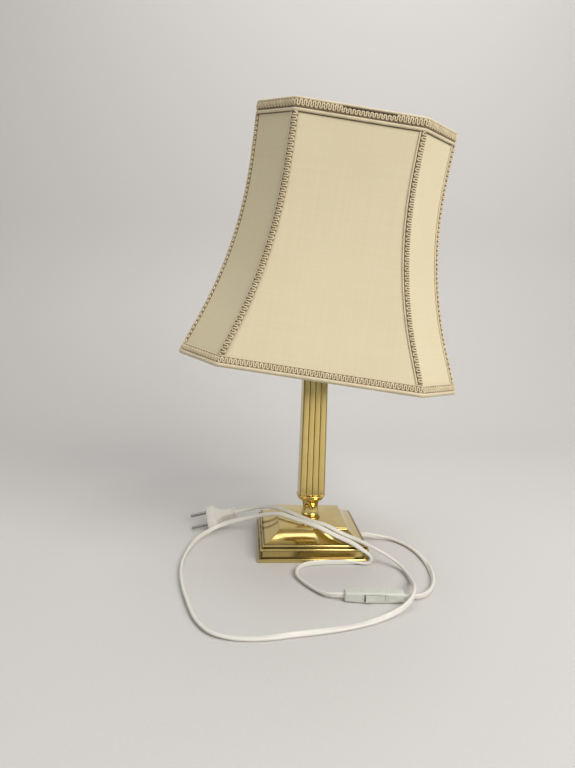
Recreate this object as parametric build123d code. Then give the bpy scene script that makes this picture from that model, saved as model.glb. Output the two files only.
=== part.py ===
from build123d import *
import math
import os

# Electric table lamp: square brass base, reeded column and tilting bell shade of fabric,
# with a flex that carries a rocker switch and a two-pin plug.
# Sizes are in millimetres and angles in degrees.
# The lamp stands on the plane Z = 0 with its column on the Z axis, +X to its right and -Y to its front.

# Base shell: square in plan, stepped and coved in outline
BASE_WIDTH = 120.0
BASE_HEIGHT = 30.0
BASE_TOP_WIDTH = 74.0
SHEET = 1.2
FLANGE_HEIGHT = 4.3
FLANGE_ROUND = 1.6
FLANGE_STEP = 4.8
WALL_HEIGHT = 6.7
BEAD_HEIGHT = 3.3
BEAD_STEP = 1.9
BEAD_ROUND = 1.5
LOWER_BEAD_REACH = 2.3
UPPER_BEAD_REACH = 1.9
COVE_SAG = 1.4
LIP_HEIGHT = 1.6

# Inside the base
FELT_THICKNESS = 1.5
FELT_GAP = 0.3
WEIGHT_THICKNESS = 9.5
WEIGHT_GAP = 0.8
WASHER_RADIUS = 13.0
WASHER_THICKNESS = 1.5
NUT_ACROSS_FLATS = 17.0
NUT_THICKNESS = 5.0

# Threaded tube that clamps base, neck and column
TUBE_RADIUS = 5.0
TUBE_BORE_RADIUS = 3.5
TUBE_BELOW_NUT = 1.0
TUBE_ABOVE_COLUMN = 8.0
TUBE_CLEARANCE = 0.15

# Turned neck: foot, bead, slender waist and a round bowl under the column
FOOT_RADIUS = 11.4
FOOT_HEIGHT = 2.0
FOOT_BEAD_RADIUS = 10.2
FOOT_BEAD_HEIGHT = 3.6
FOOT_BEAD_BULGE = 1.0
WAIST_RADIUS = 8.5
WAIST_ABOVE_BEAD = 6.0
FLARE_RISE = 8.1
BOWL_FOOT_RADIUS = 10.4
BOWL_RADIUS = 16.4
BOWL_RISE = 5.5
BOWL_BULGE = 1.3
BOWL_RIM_HEIGHT = 1.8
BOWL_RIM_BULGE = 0.5

# Reeded column, drawn in a little towards its top
COLUMN_WIDTH = 28.6
COLUMN_TOP_WIDTH = 26.4
COLUMN_LENGTH = 137.0
REEDS_PER_FACE = 4
REED_HEIGHT = 1.2
REED_EDGE = 1.3
COLUMN_BORE_WIDTH = 20.0
CAP_OVERHANG = 0.9
CAP_THICKNESS = 3.5
CAP_CHAMFER = 0.8

# Lampholder
HOLDER_NECK_RADIUS = 11.0
HOLDER_FLOOR = 5.0
HOLDER_NECK_HEIGHT = 4.0
HOLDER_SHOULDER = 9.0
HOLDER_RIM = 2.0
HOLDER_RADIUS = 19.5
HOLDER_WALL = 2.5
HOLDER_LENGTH = 35.0
CORE_THICKNESS = 9.0
CORE_GAP = 0.2
CORE_SEAT = 1.3
TERMINAL_RADIUS = 1.6
TERMINAL_LENGTH = 6.0
TERMINAL_SPACING = 18.0
TERMINAL_GAP = 0.05
CONTACT_RADIUS = 4.0
CONTACT_THICKNESS = 2.0
SCREW_SHELL_WALL = 0.75
SCREW_SHELL_LENGTH = 22.5
SHADE_RING_RADIUS = 27.5
SHADE_RING_HEIGHT = 4.5
SHADE_RING_GAP = 0.05
PIVOT_ABOVE_HOLDER = 9.9

# Bulb
BULB_CAP_RADIUS = 13.15
BULB_CAP_WALL = 0.75
BULB_CAP_LENGTH = 19.0
BULB_GAP = 0.3
BULB_CONTACT_RADIUS = 4.5
BULB_CONTACT_HEIGHT = 2.0
BULB_INSULATOR_HEIGHT = 4.0
BULB_NECK_LENGTH = 21.0
BULB_RADIUS = 30.0
BULB_GLASS_LENGTH = 98.0
GLASS = 0.8
GLASS_GAP = 0.1

# Shade: a bell with cut corners, in its own frame with the bottom rim at height 0
SHADE_HEIGHT = 238.0
SHADE_WAIST_HEIGHT = 189.0
SHADE_FLARE_STRAIGHT = 36.5
SIDE_WAIST_HALF = 92.2
SIDE_FLARE = 20.1
SIDE_TOP_FLARE = 1.5
CORNER_WAIST_HALF = 105.5
CORNER_FLARE = 26.5
CORNER_TOP_FLARE = 2.0
FABRIC = 0.8
BRAID = 1.2
TOP_BRAID_WIDTH = 13.0
BOTTOM_BRAID_WIDTH = 10.5
SEAM_BRAID_WIDTH = 7.0
BRAID_GAP = 0.1
WIRE_RADIUS = 1.5
WIRE_GAP = 0.2
WIRE_CORNER_RADIUS = 6.0
WIRE_INSET = 3.0
RIB_END_GAP = 1.2

# Shade carrier: a ring on the lampholder with two pins, and a gimbal ring that tilts on them
SHADE_PIVOT_HEIGHT = 11.8
SHADE_TILT = 8.7
SHADE_SWIVEL = -3.9
FITTER_RADIUS = 30.5
FITTER_THICKNESS = 2.0
FITTER_BORE_GAP = 0.08
RUNNING_GAP = 0.3
PIN_RADIUS = 1.5
PIN_CLEARANCE = 0.05
PIN_END_GAP = 0.2
GIMBAL_INNER_RADIUS = 33.0
GIMBAL_OUTER_RADIUS = 39.0
GIMBAL_HEIGHT = 6.0
GIMBAL_WALL = 2.0
ARM_GAP = 0.1

# Flex: a flat twin lead, drawn as a round tube of the same section area
FLEX_WIDTH = 5.2
FLEX_THICKNESS = 3.0
FLEX_CORNER = FLEX_THICKNESS / 2
FLEX_AREA = (FLEX_WIDTH - FLEX_THICKNESS) * FLEX_THICKNESS + math.pi * FLEX_CORNER**2
FLEX_RADIUS = round(math.sqrt(FLEX_AREA / math.pi), 1)
ARC_SHARE = 0.45
EXIT_STRAIGHT = 8.0
SWITCH_STRAIGHT = 7.5
PLUG_STRAIGHT = 6.0

# Grommet where the flex leaves the base wall
GROMMET_WIDTH = 11.0
GROMMET_HEIGHT = 6.2
GROMMET_WALL = 0.7
GROMMET_LIP = 1.6
GROMMET_FIT = 0.05
GROMMET_BORE_GAP = 0.1
GROMMET_DROP = 0.15
LEAD_LOW = 5.2
LEAD_STRAIGHT = 4.0
LEAD_SAG_RUN = 26.0
LEAD_SAG_BEND = 20.0
LEAD_BEND = 5.0

# In-line switch, lying on its narrow side with the rocker to the front
SWITCH_LENGTH = 54.8
SWITCH_WIDTH = 10.2
SWITCH_THICKNESS = 13.2
SWITCH_END_WIDTH = 9.0
SWITCH_END_THICKNESS = 10.4
SWITCH_ROUND = 2.4
SWITCH_END_ROUND = 1.6
SWITCH_PLACE_X = 44.5
SWITCH_PLACE_Y = -139.8
SWITCH_HEADING = -3.0
SWITCH_BACK_THICKNESS = 5.0
SWITCH_WALL = 1.3
SWITCH_CAVITY_LENGTH = 30.0
SWITCH_FRAME_LENGTH = 24.0
SWITCH_FRAME_DEPTH = 0.5
ROCKER_LENGTH = 17.8
ROCKER_WIDTH = 5.6
ROCKER_THROW = 6.0
ROCKER_THICKNESS = 2.6
ROCKER_END_GAP = 0.7
ROCKER_SIDE_GAP = 0.3
ROCKER_PIN_RADIUS = 0.8
ROCKER_PIN_DEPTH = 2.6
ROCKER_PIN_SEAT = 0.6
ROCKER_PIN_FIT = 0.02
ROCKER_BOSS_RADIUS = 1.7
STRIP_LENGTH = 9.0
STRIP_WIDTH = 3.0
STRIP_THICKNESS = 1.0
STRIP_SPACING = 14.0
SWITCH_SCREW_RADIUS = 1.1
SWITCH_SCREW_LENGTH = 7.0
SWITCH_SCREW_SPACING = 42.0
SCREW_GAP = 0.05

# Two-pin plug, rolled over on the edge of its body with its tail held up by the stiff flex
PLUG_WIDTH = 35.0
PLUG_THICKNESS = 13.6
PLUG_EDGE = 4.4
PLUG_FLAT_WIDTH = 23.0
PLUG_SHOULDER_WIDTH = 31.0
PLUG_SHOULDER_THICKNESS = 11.6
PLUG_SHOULDER_ROUND = 5.2
PLUG_BODY_LENGTH = 11.0
PLUG_TAPER_LENGTH = 8.5
PLUG_HOLLOW_WIDTH = 16.0
PLUG_HOLLOW_THICKNESS = 9.8
PLUG_HOLLOW_ROUND = 3.4
PLUG_PIN_RADIUS = 2.0
PLUG_PIN_LENGTH = 19.0
PLUG_PIN_PITCH = 18.6
PLUG_PIN_SEAT = 8.0
PLUG_PIN_ROOT_RADIUS = 1.7
PLUG_PIN_FIT = 0.02
PLUG_PIN_ROUND = 1.2
RELIEF_WIDTH = 10.8
RELIEF_THICKNESS = 8.4
RELIEF_ROUND = 2.6
RELIEF_LENGTH = 15.5
RELIEF_COLLAR_LENGTH = 1.5
RELIEF_COLLAR_REACH = 0.6
PLUG_FACE_X = -119.6
PLUG_FACE_Y = 41.3
PLUG_HEADING = 185.0
PLUG_ROLL = 28.0
PLUG_DIP = 11.5

# Route of the flex from the grommet to the right-hand end of the switch, between those two ends
BASE_TO_SWITCH = [
    (79.5, -0.6, 4.4),
    (92, -4.5, 2.1),
    (103, -16.5, 2.1),
    (111, -34, 2.1),
    (115.5, -57, 2.1),
    (115, -82, 2.1),
    (111.5, -105, 2.1),
    (104.5, -123, 2.1),
    (95, -134.5, 2.1),
    (86, -140.4, 3.2),
]

# Route from the left-hand end of the switch, round the base corner, over the base, round the big loop,
# over the switch lead, over the base again and down to the plug
SWITCH_TO_PLUG = [
    (1.5, -134.2, 3.4),
    (-6, -124.2, 2.1),
    (-14, -111.5, 2.1),
    (-22, -98, 2.1),
    (-24.5, -86, 2.1),
    (-20.5, -74.5, 2.1),
    (-9, -66.5, 2.1),
    (8, -63.6, 2.1),
    (27, -63.2, 2.1),
    (44, -63.6, 2.1),
    (56.6, -64.2, 2.1),
    (59.8, -64.2, 7.6),
    (56.6, -64.2, 13),
    (48.5, -62.6, 17),
    (39.5, -57.2, 20.9),
    (28, -50, 23.4),
    (16, -46.2, 28),
    (4, -41, 32.9),
    (-8.5, -30.5, 33.3),
    (-22, -16.5, 33.2),
    (-35, -4.5, 34),
    (-49, 8.5, 28.5),
    (-65, 19, 21.5),
    (-83, 24, 15.2),
    (-101, 25.5, 9.6),
    (-116, 17.5, 4.6),
    (-127.5, 0.5, 2.1),
    (-134.5, -22, 2.1),
    (-139, -46, 2.1),
    (-139.5, -72, 2.1),
    (-135.5, -100, 2.1),
    (-129, -127, 2.1),
    (-120.5, -153, 2.1),
    (-110, -178, 2.1),
    (-96.5, -195, 2.1),
    (-79, -202, 2.1),
    (-58, -202.5, 2.1),
    (-34, -198, 2.1),
    (-8, -193.8, 2.1),
    (18, -186.5, 2.1),
    (41, -177, 2.1),
    (60, -166, 3.6),
    (70, -158, 7.2),
    (77.3, -147, 10.2),
    (82, -133, 10.2),
    (86.2, -119.5, 6.2),
    (88.3, -104.5, 2.1),
    (87.5, -90, 2.1),
    (80.5, -77.8, 5),
    (68.5, -69, 11.6),
    (56, -61.2, 19),
    (45.5, -53.2, 22.6),
    (35, -46.8, 24.4),
    (24.5, -42.6, 28.4),
    (13, -37.6, 33.2),
    (-1.5, -25.5, 33),
    (-14, -11, 33.1),
    (-25.5, 5, 33.1),
    (-36.5, 17.5, 33.4),
    (-47.5, 29.5, 30.5),
    (-58, 38.5, 26.3),
    (-68.5, 43.5, 22.3),
]

# Heights and half widths that follow from the sizes above
BASE_HALF = BASE_WIDTH / 2
WALL_HALF = BASE_HALF - FLANGE_STEP
COVE_HALF = WALL_HALF - BEAD_STEP
TOP_HALF = BASE_TOP_WIDTH / 2
WALL_TOP = FLANGE_HEIGHT + WALL_HEIGHT
MID_BEAD = WALL_TOP + BEAD_HEIGHT
COVE_FOOT = MID_BEAD + BEAD_HEIGHT
COVE_TOP = BASE_HEIGHT - LIP_HEIGHT

WEIGHT_TOP = BASE_HEIGHT - SHEET
WEIGHT_BOTTOM = WEIGHT_TOP - WEIGHT_THICKNESS
WASHER_BOTTOM = WEIGHT_BOTTOM - WASHER_THICKNESS
NUT_BOTTOM = WASHER_BOTTOM - NUT_THICKNESS
TUBE_BOTTOM = NUT_BOTTOM - TUBE_BELOW_NUT
TUBE_HOLE_RADIUS = TUBE_RADIUS + TUBE_CLEARANCE

FOOT_BEAD_TOP = FOOT_HEIGHT + FOOT_BEAD_HEIGHT
NECK_WAIST = FOOT_BEAD_TOP + WAIST_ABOVE_BEAD
BOWL_FOOT = NECK_WAIST + FLARE_RISE
BOWL_RIM = BOWL_FOOT + BOWL_RISE
NECK_HEIGHT = BOWL_RIM + BOWL_RIM_HEIGHT

COLUMN_BOTTOM = BASE_HEIGHT + NECK_HEIGHT
COLUMN_TOP = COLUMN_BOTTOM + COLUMN_LENGTH
CAP_TOP = COLUMN_TOP + CAP_THICKNESS
TUBE_TOP = CAP_TOP + TUBE_ABOVE_COLUMN

HOLDER_CAP_HEIGHT = HOLDER_NECK_HEIGHT + HOLDER_SHOULDER + HOLDER_RIM
HOLDER_BOTTOM = CAP_TOP + HOLDER_CAP_HEIGHT
HOLDER_BORE_RADIUS = HOLDER_RADIUS - HOLDER_WALL
CORE_RADIUS = HOLDER_BORE_RADIUS - CORE_GAP
CORE_TOP = HOLDER_BOTTOM + CORE_THICKNESS
SCREW_SHELL_BORE = BULB_CAP_RADIUS + BULB_GAP
PIVOT_Z = HOLDER_BOTTOM + PIVOT_ABOVE_HOLDER

BULB_BOTTOM = CORE_TOP + CONTACT_THICKNESS
BULB_INSULATOR_BOTTOM = BULB_BOTTOM + BULB_CONTACT_HEIGHT
BULB_CAP_BOTTOM = BULB_INSULATOR_BOTTOM + BULB_INSULATOR_HEIGHT
BULB_NECK_RADIUS = BULB_CAP_RADIUS - BULB_CAP_WALL - GLASS_GAP

FLARE_RUN = SHADE_WAIST_HEIGHT - SHADE_FLARE_STRAIGHT
TOP_RUN = SHADE_HEIGHT - SHADE_WAIST_HEIGHT
WIRE_DEPTH = FABRIC + WIRE_GAP + WIRE_RADIUS

GROMMET_Z = FLANGE_HEIGHT + WALL_HEIGHT / 2 - GROMMET_DROP
FLEX_EXIT = (BASE_HALF, 0, GROMMET_Z)


def tangent(angle):
    return math.tan(math.radians(angle))


def silhouette(edges):
    """Face bounded by the given right-hand edges and their mirror image about the upright axis."""
    right = Curve() + edges
    return make_face(right + mirror(right, Plane.YZ))


def square_form(edges, depth):
    """Form with a square plan whose half width at each height is the outline's."""
    along_y = extrude(Plane.XZ * silhouette(edges), depth, both=True)
    return along_y & (Rot(Z=90) * along_y)


def turned(edges):
    """Form turned about the Z axis from a closed outline of radius and height."""
    return revolve(Plane.XZ * make_face(edges), Axis.Z)


def tube(outer, inner, bottom, height):
    """Round tube standing at the given height."""
    ring = Circle(outer) - Circle(inner)
    return Pos(0, 0, bottom) * extrude(ring, height)


def bead(half, low, height, bulge):
    """Half-round moulding on an upright line."""
    return ThreePointArc((half, low), (half + bulge, low + height / 2), (half, low + height))


def bowed(foot, head, bulge):
    """Arc from foot to head that swells outwards, or is hollow where the bulge is negative."""
    chord = head - foot
    outward = Vector(chord.Y, -chord.X).normalized()
    return ThreePointArc(foot, foot + chord / 2 + outward * bulge, head)


def cove(inset):
    """Hollow moulding from the beads up to the lip, shifted in and down by the inset."""
    foot = Vector(COVE_HALF - inset, COVE_FOOT - inset)
    head = Vector(TOP_HALF - inset, COVE_TOP - inset)
    return bowed(foot, head, -COVE_SAG)


def base_outer_edges():
    flange_root = BASE_HALF - FLANGE_ROUND
    lower_root = WALL_HALF + LOWER_BEAD_REACH - BEAD_ROUND
    upper_root = COVE_HALF + UPPER_BEAD_REACH - BEAD_ROUND
    return [
        Line((0, 0), (flange_root, 0)),
        bead(flange_root, 0, FLANGE_HEIGHT, FLANGE_ROUND),
        Polyline((flange_root, FLANGE_HEIGHT), (WALL_HALF, FLANGE_HEIGHT), (WALL_HALF, WALL_TOP)),
        Line((WALL_HALF, WALL_TOP), (lower_root, WALL_TOP)),
        bead(lower_root, WALL_TOP, BEAD_HEIGHT, BEAD_ROUND),
        Line((lower_root, MID_BEAD), (upper_root, MID_BEAD)),
        bead(upper_root, MID_BEAD, BEAD_HEIGHT, BEAD_ROUND),
        Line((upper_root, COVE_FOOT), (COVE_HALF, COVE_FOOT)),
        cove(0),
        Polyline((TOP_HALF, COVE_TOP), (TOP_HALF, BASE_HEIGHT), (0, BASE_HEIGHT)),
    ]


def base_inner_edges():
    wall = WALL_HALF - SHEET
    bead_wall = COVE_HALF - SHEET
    top = TOP_HALF - SHEET
    return [
        Polyline((0, 0), (wall, 0), (wall, WALL_TOP), (bead_wall, MID_BEAD)),
        Line((bead_wall, MID_BEAD), (bead_wall, COVE_FOOT - SHEET)),
        cove(SHEET),
        Polyline((top, COVE_TOP - SHEET), (top, BASE_HEIGHT - SHEET), (0, BASE_HEIGHT - SHEET)),
    ]


def along_wall(width, height, length, start):
    """Bar with rounded ends of section, running out along +X from the given X at the grommet's height."""
    plane = Plane(origin=(start, 0, GROMMET_Z), x_dir=(0, 1, 0), z_dir=(1, 0, 0))
    return extrude(plane * SlotOverall(width, height), length)


def base_parts():
    shell = square_form(base_outer_edges(), BASE_WIDTH) - square_form(base_inner_edges(), BASE_WIDTH)
    shell -= Pos(0, 0, BASE_HEIGHT) * Cylinder(TUBE_HOLE_RADIUS, 4 * SHEET)
    hole_width = GROMMET_WIDTH - 2 * GROMMET_WALL
    hole_height = GROMMET_HEIGHT - 2 * GROMMET_WALL
    hole_start = WALL_HALF - SHEET
    shell -= along_wall(hole_width, hole_height, SHEET, hole_start)

    grommet = along_wall(GROMMET_WIDTH, GROMMET_HEIGHT, BASE_HALF - WALL_HALF, WALL_HALF)
    grommet += along_wall(hole_width - 2 * GROMMET_FIT, hole_height - 2 * GROMMET_FIT, SHEET, hole_start)
    grommet += along_wall(GROMMET_WIDTH, GROMMET_HEIGHT, GROMMET_LIP, hole_start - GROMMET_LIP)
    bore = Plane(origin=(0, 0, GROMMET_Z), z_dir=(1, 0, 0)) * Circle(FLEX_RADIUS + GROMMET_BORE_GAP)
    grommet -= extrude(bore, BASE_WIDTH)

    felt_width = 2 * (WALL_HALF - SHEET - FELT_GAP)
    felt = extrude(Rectangle(felt_width, felt_width), FELT_THICKNESS)

    weight_width = 2 * (TOP_HALF - SHEET - WEIGHT_GAP)
    weight_plan = Rectangle(weight_width, weight_width) - Circle(TUBE_HOLE_RADIUS)
    weight = Pos(0, 0, WEIGHT_BOTTOM) * extrude(weight_plan, WEIGHT_THICKNESS)

    nut_plan = RegularPolygon(NUT_ACROSS_FLATS / 2, 6, major_radius=False) - Circle(TUBE_HOLE_RADIUS)
    return {
        "base_shell": shell,
        "base_felt": felt,
        "base_weight": weight,
        "base_washer": tube(WASHER_RADIUS, TUBE_HOLE_RADIUS, WASHER_BOTTOM, WASHER_THICKNESS),
        "base_nut": Pos(0, 0, NUT_BOTTOM) * extrude(nut_plan, NUT_THICKNESS),
        "cord_grommet": grommet,
        "threaded_tube": tube(TUBE_RADIUS, TUBE_BORE_RADIUS, TUBE_BOTTOM, TUBE_TOP - TUBE_BOTTOM),
    }


def neck_part():
    bead_root = FOOT_BEAD_RADIUS - FOOT_BEAD_BULGE
    rim_root = BOWL_RADIUS - BOWL_RIM_BULGE
    waist = (WAIST_RADIUS, NECK_WAIST)
    bowl_foot = Vector(BOWL_FOOT_RADIUS, BOWL_FOOT)
    edges = [
        Polyline((TUBE_HOLE_RADIUS, 0), (FOOT_RADIUS, 0), (FOOT_RADIUS, FOOT_HEIGHT)),
        Line((FOOT_RADIUS, FOOT_HEIGHT), (bead_root, FOOT_HEIGHT)),
        bead(bead_root, FOOT_HEIGHT, FOOT_BEAD_HEIGHT, FOOT_BEAD_BULGE),
        TangentArc(waist, (bead_root, FOOT_BEAD_TOP), tangent=(0, -1)),
        TangentArc(waist, bowl_foot, tangent=(0, 1)),
        bowed(bowl_foot, Vector(rim_root, BOWL_RIM), BOWL_BULGE),
        bead(rim_root, BOWL_RIM, BOWL_RIM_HEIGHT, BOWL_RIM_BULGE),
        Polyline((rim_root, NECK_HEIGHT), (TUBE_HOLE_RADIUS, NECK_HEIGHT), (TUBE_HOLE_RADIUS, 0)),
    ]
    return Pos(0, 0, BASE_HEIGHT) * turned(edges)


def reeded_plan(width):
    """Square plan with flat reeds on its four sides, their edges rounded down into narrow grooves."""
    half = width / 2 - REED_HEIGHT
    crest = -width / 2
    pitch = 2 * half / REEDS_PER_FACE
    edges = []
    for turn in range(4):
        for reed in range(REEDS_PER_FACE):
            start = -half + reed * pitch
            end = start + pitch
            flat_start = (start + REED_EDGE, crest)
            flat_end = (end - REED_EDGE, crest)
            reed_edges = [
                TangentArc(flat_start, (start, -half), tangent=(-1, 0)),
                Line(flat_start, flat_end),
                TangentArc(flat_end, (end, -half), tangent=(1, 0)),
            ]
            edges += [Rot(Z=90 * turn) * edge for edge in reed_edges]
    return make_face(edges)


def column_parts():
    foot = reeded_plan(COLUMN_WIDTH)
    head = Pos(0, 0, COLUMN_LENGTH) * reeded_plan(COLUMN_TOP_WIDTH)
    column = loft([foot, head], ruled=True)
    column -= extrude(Rectangle(COLUMN_BORE_WIDTH, COLUMN_BORE_WIDTH), COLUMN_LENGTH)

    cap_width = COLUMN_TOP_WIDTH + 2 * CAP_OVERHANG
    cap = extrude(Rectangle(cap_width, cap_width), CAP_THICKNESS)
    cap = chamfer(cap.faces().sort_by(Axis.Z)[-1].edges(), CAP_CHAMFER)
    cap -= Cylinder(TUBE_HOLE_RADIUS, 4 * CAP_THICKNESS)
    return {"column": Pos(0, 0, COLUMN_BOTTOM) * column, "column_cap": Pos(0, 0, COLUMN_TOP) * cap}


def lampholder_parts():
    shoulder_top = HOLDER_NECK_HEIGHT + HOLDER_SHOULDER
    seat = HOLDER_BORE_RADIUS - CORE_SEAT
    inner_neck = HOLDER_NECK_RADIUS - CORE_SEAT
    edges = Polyline(
        (TUBE_HOLE_RADIUS, 0),
        (HOLDER_NECK_RADIUS, 0),
        (HOLDER_NECK_RADIUS, HOLDER_NECK_HEIGHT),
        (HOLDER_RADIUS, shoulder_top),
        (HOLDER_RADIUS, HOLDER_CAP_HEIGHT),
        (seat, HOLDER_CAP_HEIGHT),
        (seat, shoulder_top),
        (inner_neck, HOLDER_FLOOR),
        (TUBE_HOLE_RADIUS, HOLDER_FLOOR),
        close=True,
    )
    terminals = [Pos(side * TERMINAL_SPACING / 2, 0, HOLDER_BOTTOM) for side in (-1, 1)]
    core = Pos(0, 0, HOLDER_BOTTOM) * extrude(Circle(CORE_RADIUS), CORE_THICKNESS)
    screws = []
    for place in terminals:
        core -= place * extrude(Circle(TERMINAL_RADIUS + TERMINAL_GAP), TERMINAL_LENGTH)
        screws.append(place * extrude(Circle(TERMINAL_RADIUS), TERMINAL_LENGTH))

    ring_bore = HOLDER_RADIUS + SHADE_RING_GAP
    ring_reach = FITTER_THICKNESS / 2 + RUNNING_GAP
    lower_ring_bottom = PIVOT_Z - ring_reach - SHADE_RING_HEIGHT
    return {
        "holder_cap": Pos(0, 0, CAP_TOP) * turned(edges),
        "holder_body": tube(HOLDER_RADIUS, HOLDER_BORE_RADIUS, HOLDER_BOTTOM, HOLDER_LENGTH),
        "holder_core": core,
        "holder_terminals": Compound(screws),
        "holder_contact": Pos(0, 0, CORE_TOP) * extrude(Circle(CONTACT_RADIUS), CONTACT_THICKNESS),
        "holder_screw_shell": tube(
            SCREW_SHELL_BORE + SCREW_SHELL_WALL, SCREW_SHELL_BORE, CORE_TOP, SCREW_SHELL_LENGTH
        ),
        "shade_ring_lower": tube(SHADE_RING_RADIUS, ring_bore, lower_ring_bottom, SHADE_RING_HEIGHT),
        "shade_ring_upper": tube(SHADE_RING_RADIUS, ring_bore, PIVOT_Z + ring_reach, SHADE_RING_HEIGHT),
    }


def glass_form(inset):
    """Solid pear shape of the bulb: straight neck, cone and ball, each drawn in by the inset."""
    neck = BULB_NECK_RADIUS - inset
    ball = BULB_RADIUS - inset
    centre = BULB_GLASS_LENGTH - BULB_RADIUS
    rise = centre - BULB_NECK_LENGTH
    reach = math.hypot(neck, rise)
    lean = math.asin(ball / reach) - math.atan2(neck, rise)
    touch = (ball * math.cos(lean), centre - ball * math.sin(lean))
    crown = (0, centre + ball)
    middle_angle = (math.pi / 2 - lean) / 2
    middle = (ball * math.cos(middle_angle), centre + ball * math.sin(middle_angle))
    edges = [
        Polyline((0, 0), (neck, 0), (neck, BULB_NECK_LENGTH), touch),
        ThreePointArc(touch, middle, crown),
        Line(crown, (0, 0)),
    ]
    return turned(edges)


def bulb_parts():
    cap_bore = BULB_CAP_RADIUS - BULB_CAP_WALL
    glass = glass_form(0) - glass_form(GLASS)
    insulator = Polyline(
        (0, 0),
        (BULB_CONTACT_RADIUS, 0),
        (BULB_CAP_RADIUS, BULB_INSULATOR_HEIGHT),
        (0, BULB_INSULATOR_HEIGHT),
        close=True,
    )
    return {
        "bulb_contact": Pos(0, 0, BULB_BOTTOM) * extrude(Circle(BULB_CONTACT_RADIUS), BULB_CONTACT_HEIGHT),
        "bulb_insulator": Pos(0, 0, BULB_INSULATOR_BOTTOM) * turned(insulator),
        "bulb_cap": tube(BULB_CAP_RADIUS, cap_bore, BULB_CAP_BOTTOM, BULB_CAP_LENGTH),
        "bulb_glass": Pos(0, 0, BULB_CAP_BOTTOM) * glass,
    }


def half_at(height, waist, flare, top_flare):
    """Half width of a shade outline at a height: straight flare, long hollow curve, lip turned out."""
    if height < SHADE_FLARE_STRAIGHT:
        knee = waist + FLARE_RUN * tangent(flare / 2)
        return knee + (SHADE_FLARE_STRAIGHT - height) * tangent(flare)
    if height < SHADE_WAIST_HEIGHT:
        radius = FLARE_RUN / math.sin(math.radians(flare))
    else:
        radius = TOP_RUN / math.sin(math.radians(top_flare))
    return waist + radius - math.sqrt(radius**2 - (height - SHADE_WAIST_HEIGHT) ** 2)


def side_half(height, inset):
    return half_at(height, SIDE_WAIST_HALF - inset, SIDE_FLARE, SIDE_TOP_FLARE)


def corner_half(height, inset):
    return half_at(height, CORNER_WAIST_HALF - inset, CORNER_FLARE, CORNER_TOP_FLARE)


def seam_point(height, inset):
    """Plan position of the seam in the first quarter, between the back side and its corner panel."""
    side = side_half(height, inset)
    return Vector(math.sqrt(2) * corner_half(height, inset) - side, side)


def flared_prism(half, inset):
    """Long bar whose section is the shade's outline, with its flat run along the Y axis."""
    knee = (half(SHADE_FLARE_STRAIGHT, inset), SHADE_FLARE_STRAIGHT)
    bend = (SHADE_FLARE_STRAIGHT + SHADE_WAIST_HEIGHT) / 2
    waist = (half(SHADE_WAIST_HEIGHT, inset), SHADE_WAIST_HEIGHT)
    top = (half(SHADE_HEIGHT, inset), SHADE_HEIGHT)
    edges = [
        Polyline((0, 0), (half(0, inset), 0), knee),
        ThreePointArc(knee, (half(bend, inset), bend), waist),
        TangentArc(waist, top, tangent=(0, 1)),
        Line(top, (0, SHADE_HEIGHT)),
    ]
    return extrude(Plane.XZ * silhouette(edges), SHADE_HEIGHT, both=True)


def bell_form(inset):
    """Solid bell with cut corners, drawn in by the inset."""
    side = flared_prism(side_half, inset)
    corner = flared_prism(corner_half, inset)
    return side & (Rot(Z=90) * side) & (Rot(Z=45) * corner) & (Rot(Z=-45) * corner)


def height_band(low, high):
    size = 4 * SHADE_HEIGHT
    return Pos(0, 0, low) * extrude(Rectangle(size, size), high - low)


def wire_ring(height):
    """Closed wire with eight sides and rounded corners, just inside the fabric."""
    seam = seam_point(height, WIRE_DEPTH)
    corners = []
    for turn in range(4):
        for corner in (Vector(seam.Y, seam.X, height), Vector(seam.X, seam.Y, height)):
            corners.append(corner.rotate(Axis.Z, 90 * turn))
    path = FilletPolyline(*corners, radius=WIRE_CORNER_RADIUS, close=True)
    return sweep((path ^ 0) * Circle(WIRE_RADIUS), path=path)


def rib_curve():
    """Upright plane of the first rib, and its plan distance from the waist as a function of height."""
    foot = seam_point(0, WIRE_DEPTH)
    waist = seam_point(SHADE_WAIST_HEIGHT, WIRE_DEPTH)
    reach = (foot - waist).length
    side_slope = tangent(SIDE_FLARE)
    slope = math.hypot(side_slope, math.sqrt(2) * tangent(CORNER_FLARE) - side_slope)
    flare = math.degrees(math.atan(slope))
    start = reach - SHADE_FLARE_STRAIGHT * slope - FLARE_RUN * tangent(flare / 2)
    outward = foot - waist
    plane = Plane(origin=(waist.X, waist.Y, 0), x_dir=outward, z_dir=Vector(0, 0, 1).cross(outward))

    def distance(height):
        if height < SHADE_FLARE_STRAIGHT:
            return reach - height * slope
        if height > SHADE_WAIST_HEIGHT:
            return start
        radius = FLARE_RUN / math.sin(math.radians(flare))
        return start + radius - math.sqrt(radius**2 - (height - SHADE_WAIST_HEIGHT) ** 2)

    return plane, distance


def rib_position(height):
    """Point on the first rib's centre line."""
    plane, distance = rib_curve()
    spot = plane.origin + plane.x_dir * distance(height)
    return Vector(spot.X, spot.Y, height)


def rib_form():
    bottom = WIRE_INSET + WIRE_RADIUS + RIB_END_GAP
    top = SHADE_HEIGHT - bottom
    bend = (SHADE_FLARE_STRAIGHT + SHADE_WAIST_HEIGHT) / 2
    knee = rib_position(SHADE_FLARE_STRAIGHT)
    waist = rib_position(SHADE_WAIST_HEIGHT)
    path = Line(rib_position(bottom), knee)
    path += ThreePointArc(knee, rib_position(bend), waist)
    path += Line(waist, rib_position(top))
    return sweep((path ^ 0) * Circle(WIRE_RADIUS), path=path)


def eight_fold(solid):
    """The solid of the first seam, and the ones of the seven others in order round the shade."""
    copies = []
    for turn in range(4):
        copies.append(Rot(Z=90 * turn) * mirror(solid, Plane.XZ.rotated((0, 0, 45))))
        copies.append(Rot(Z=90 * turn) * solid)
    return copies


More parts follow.
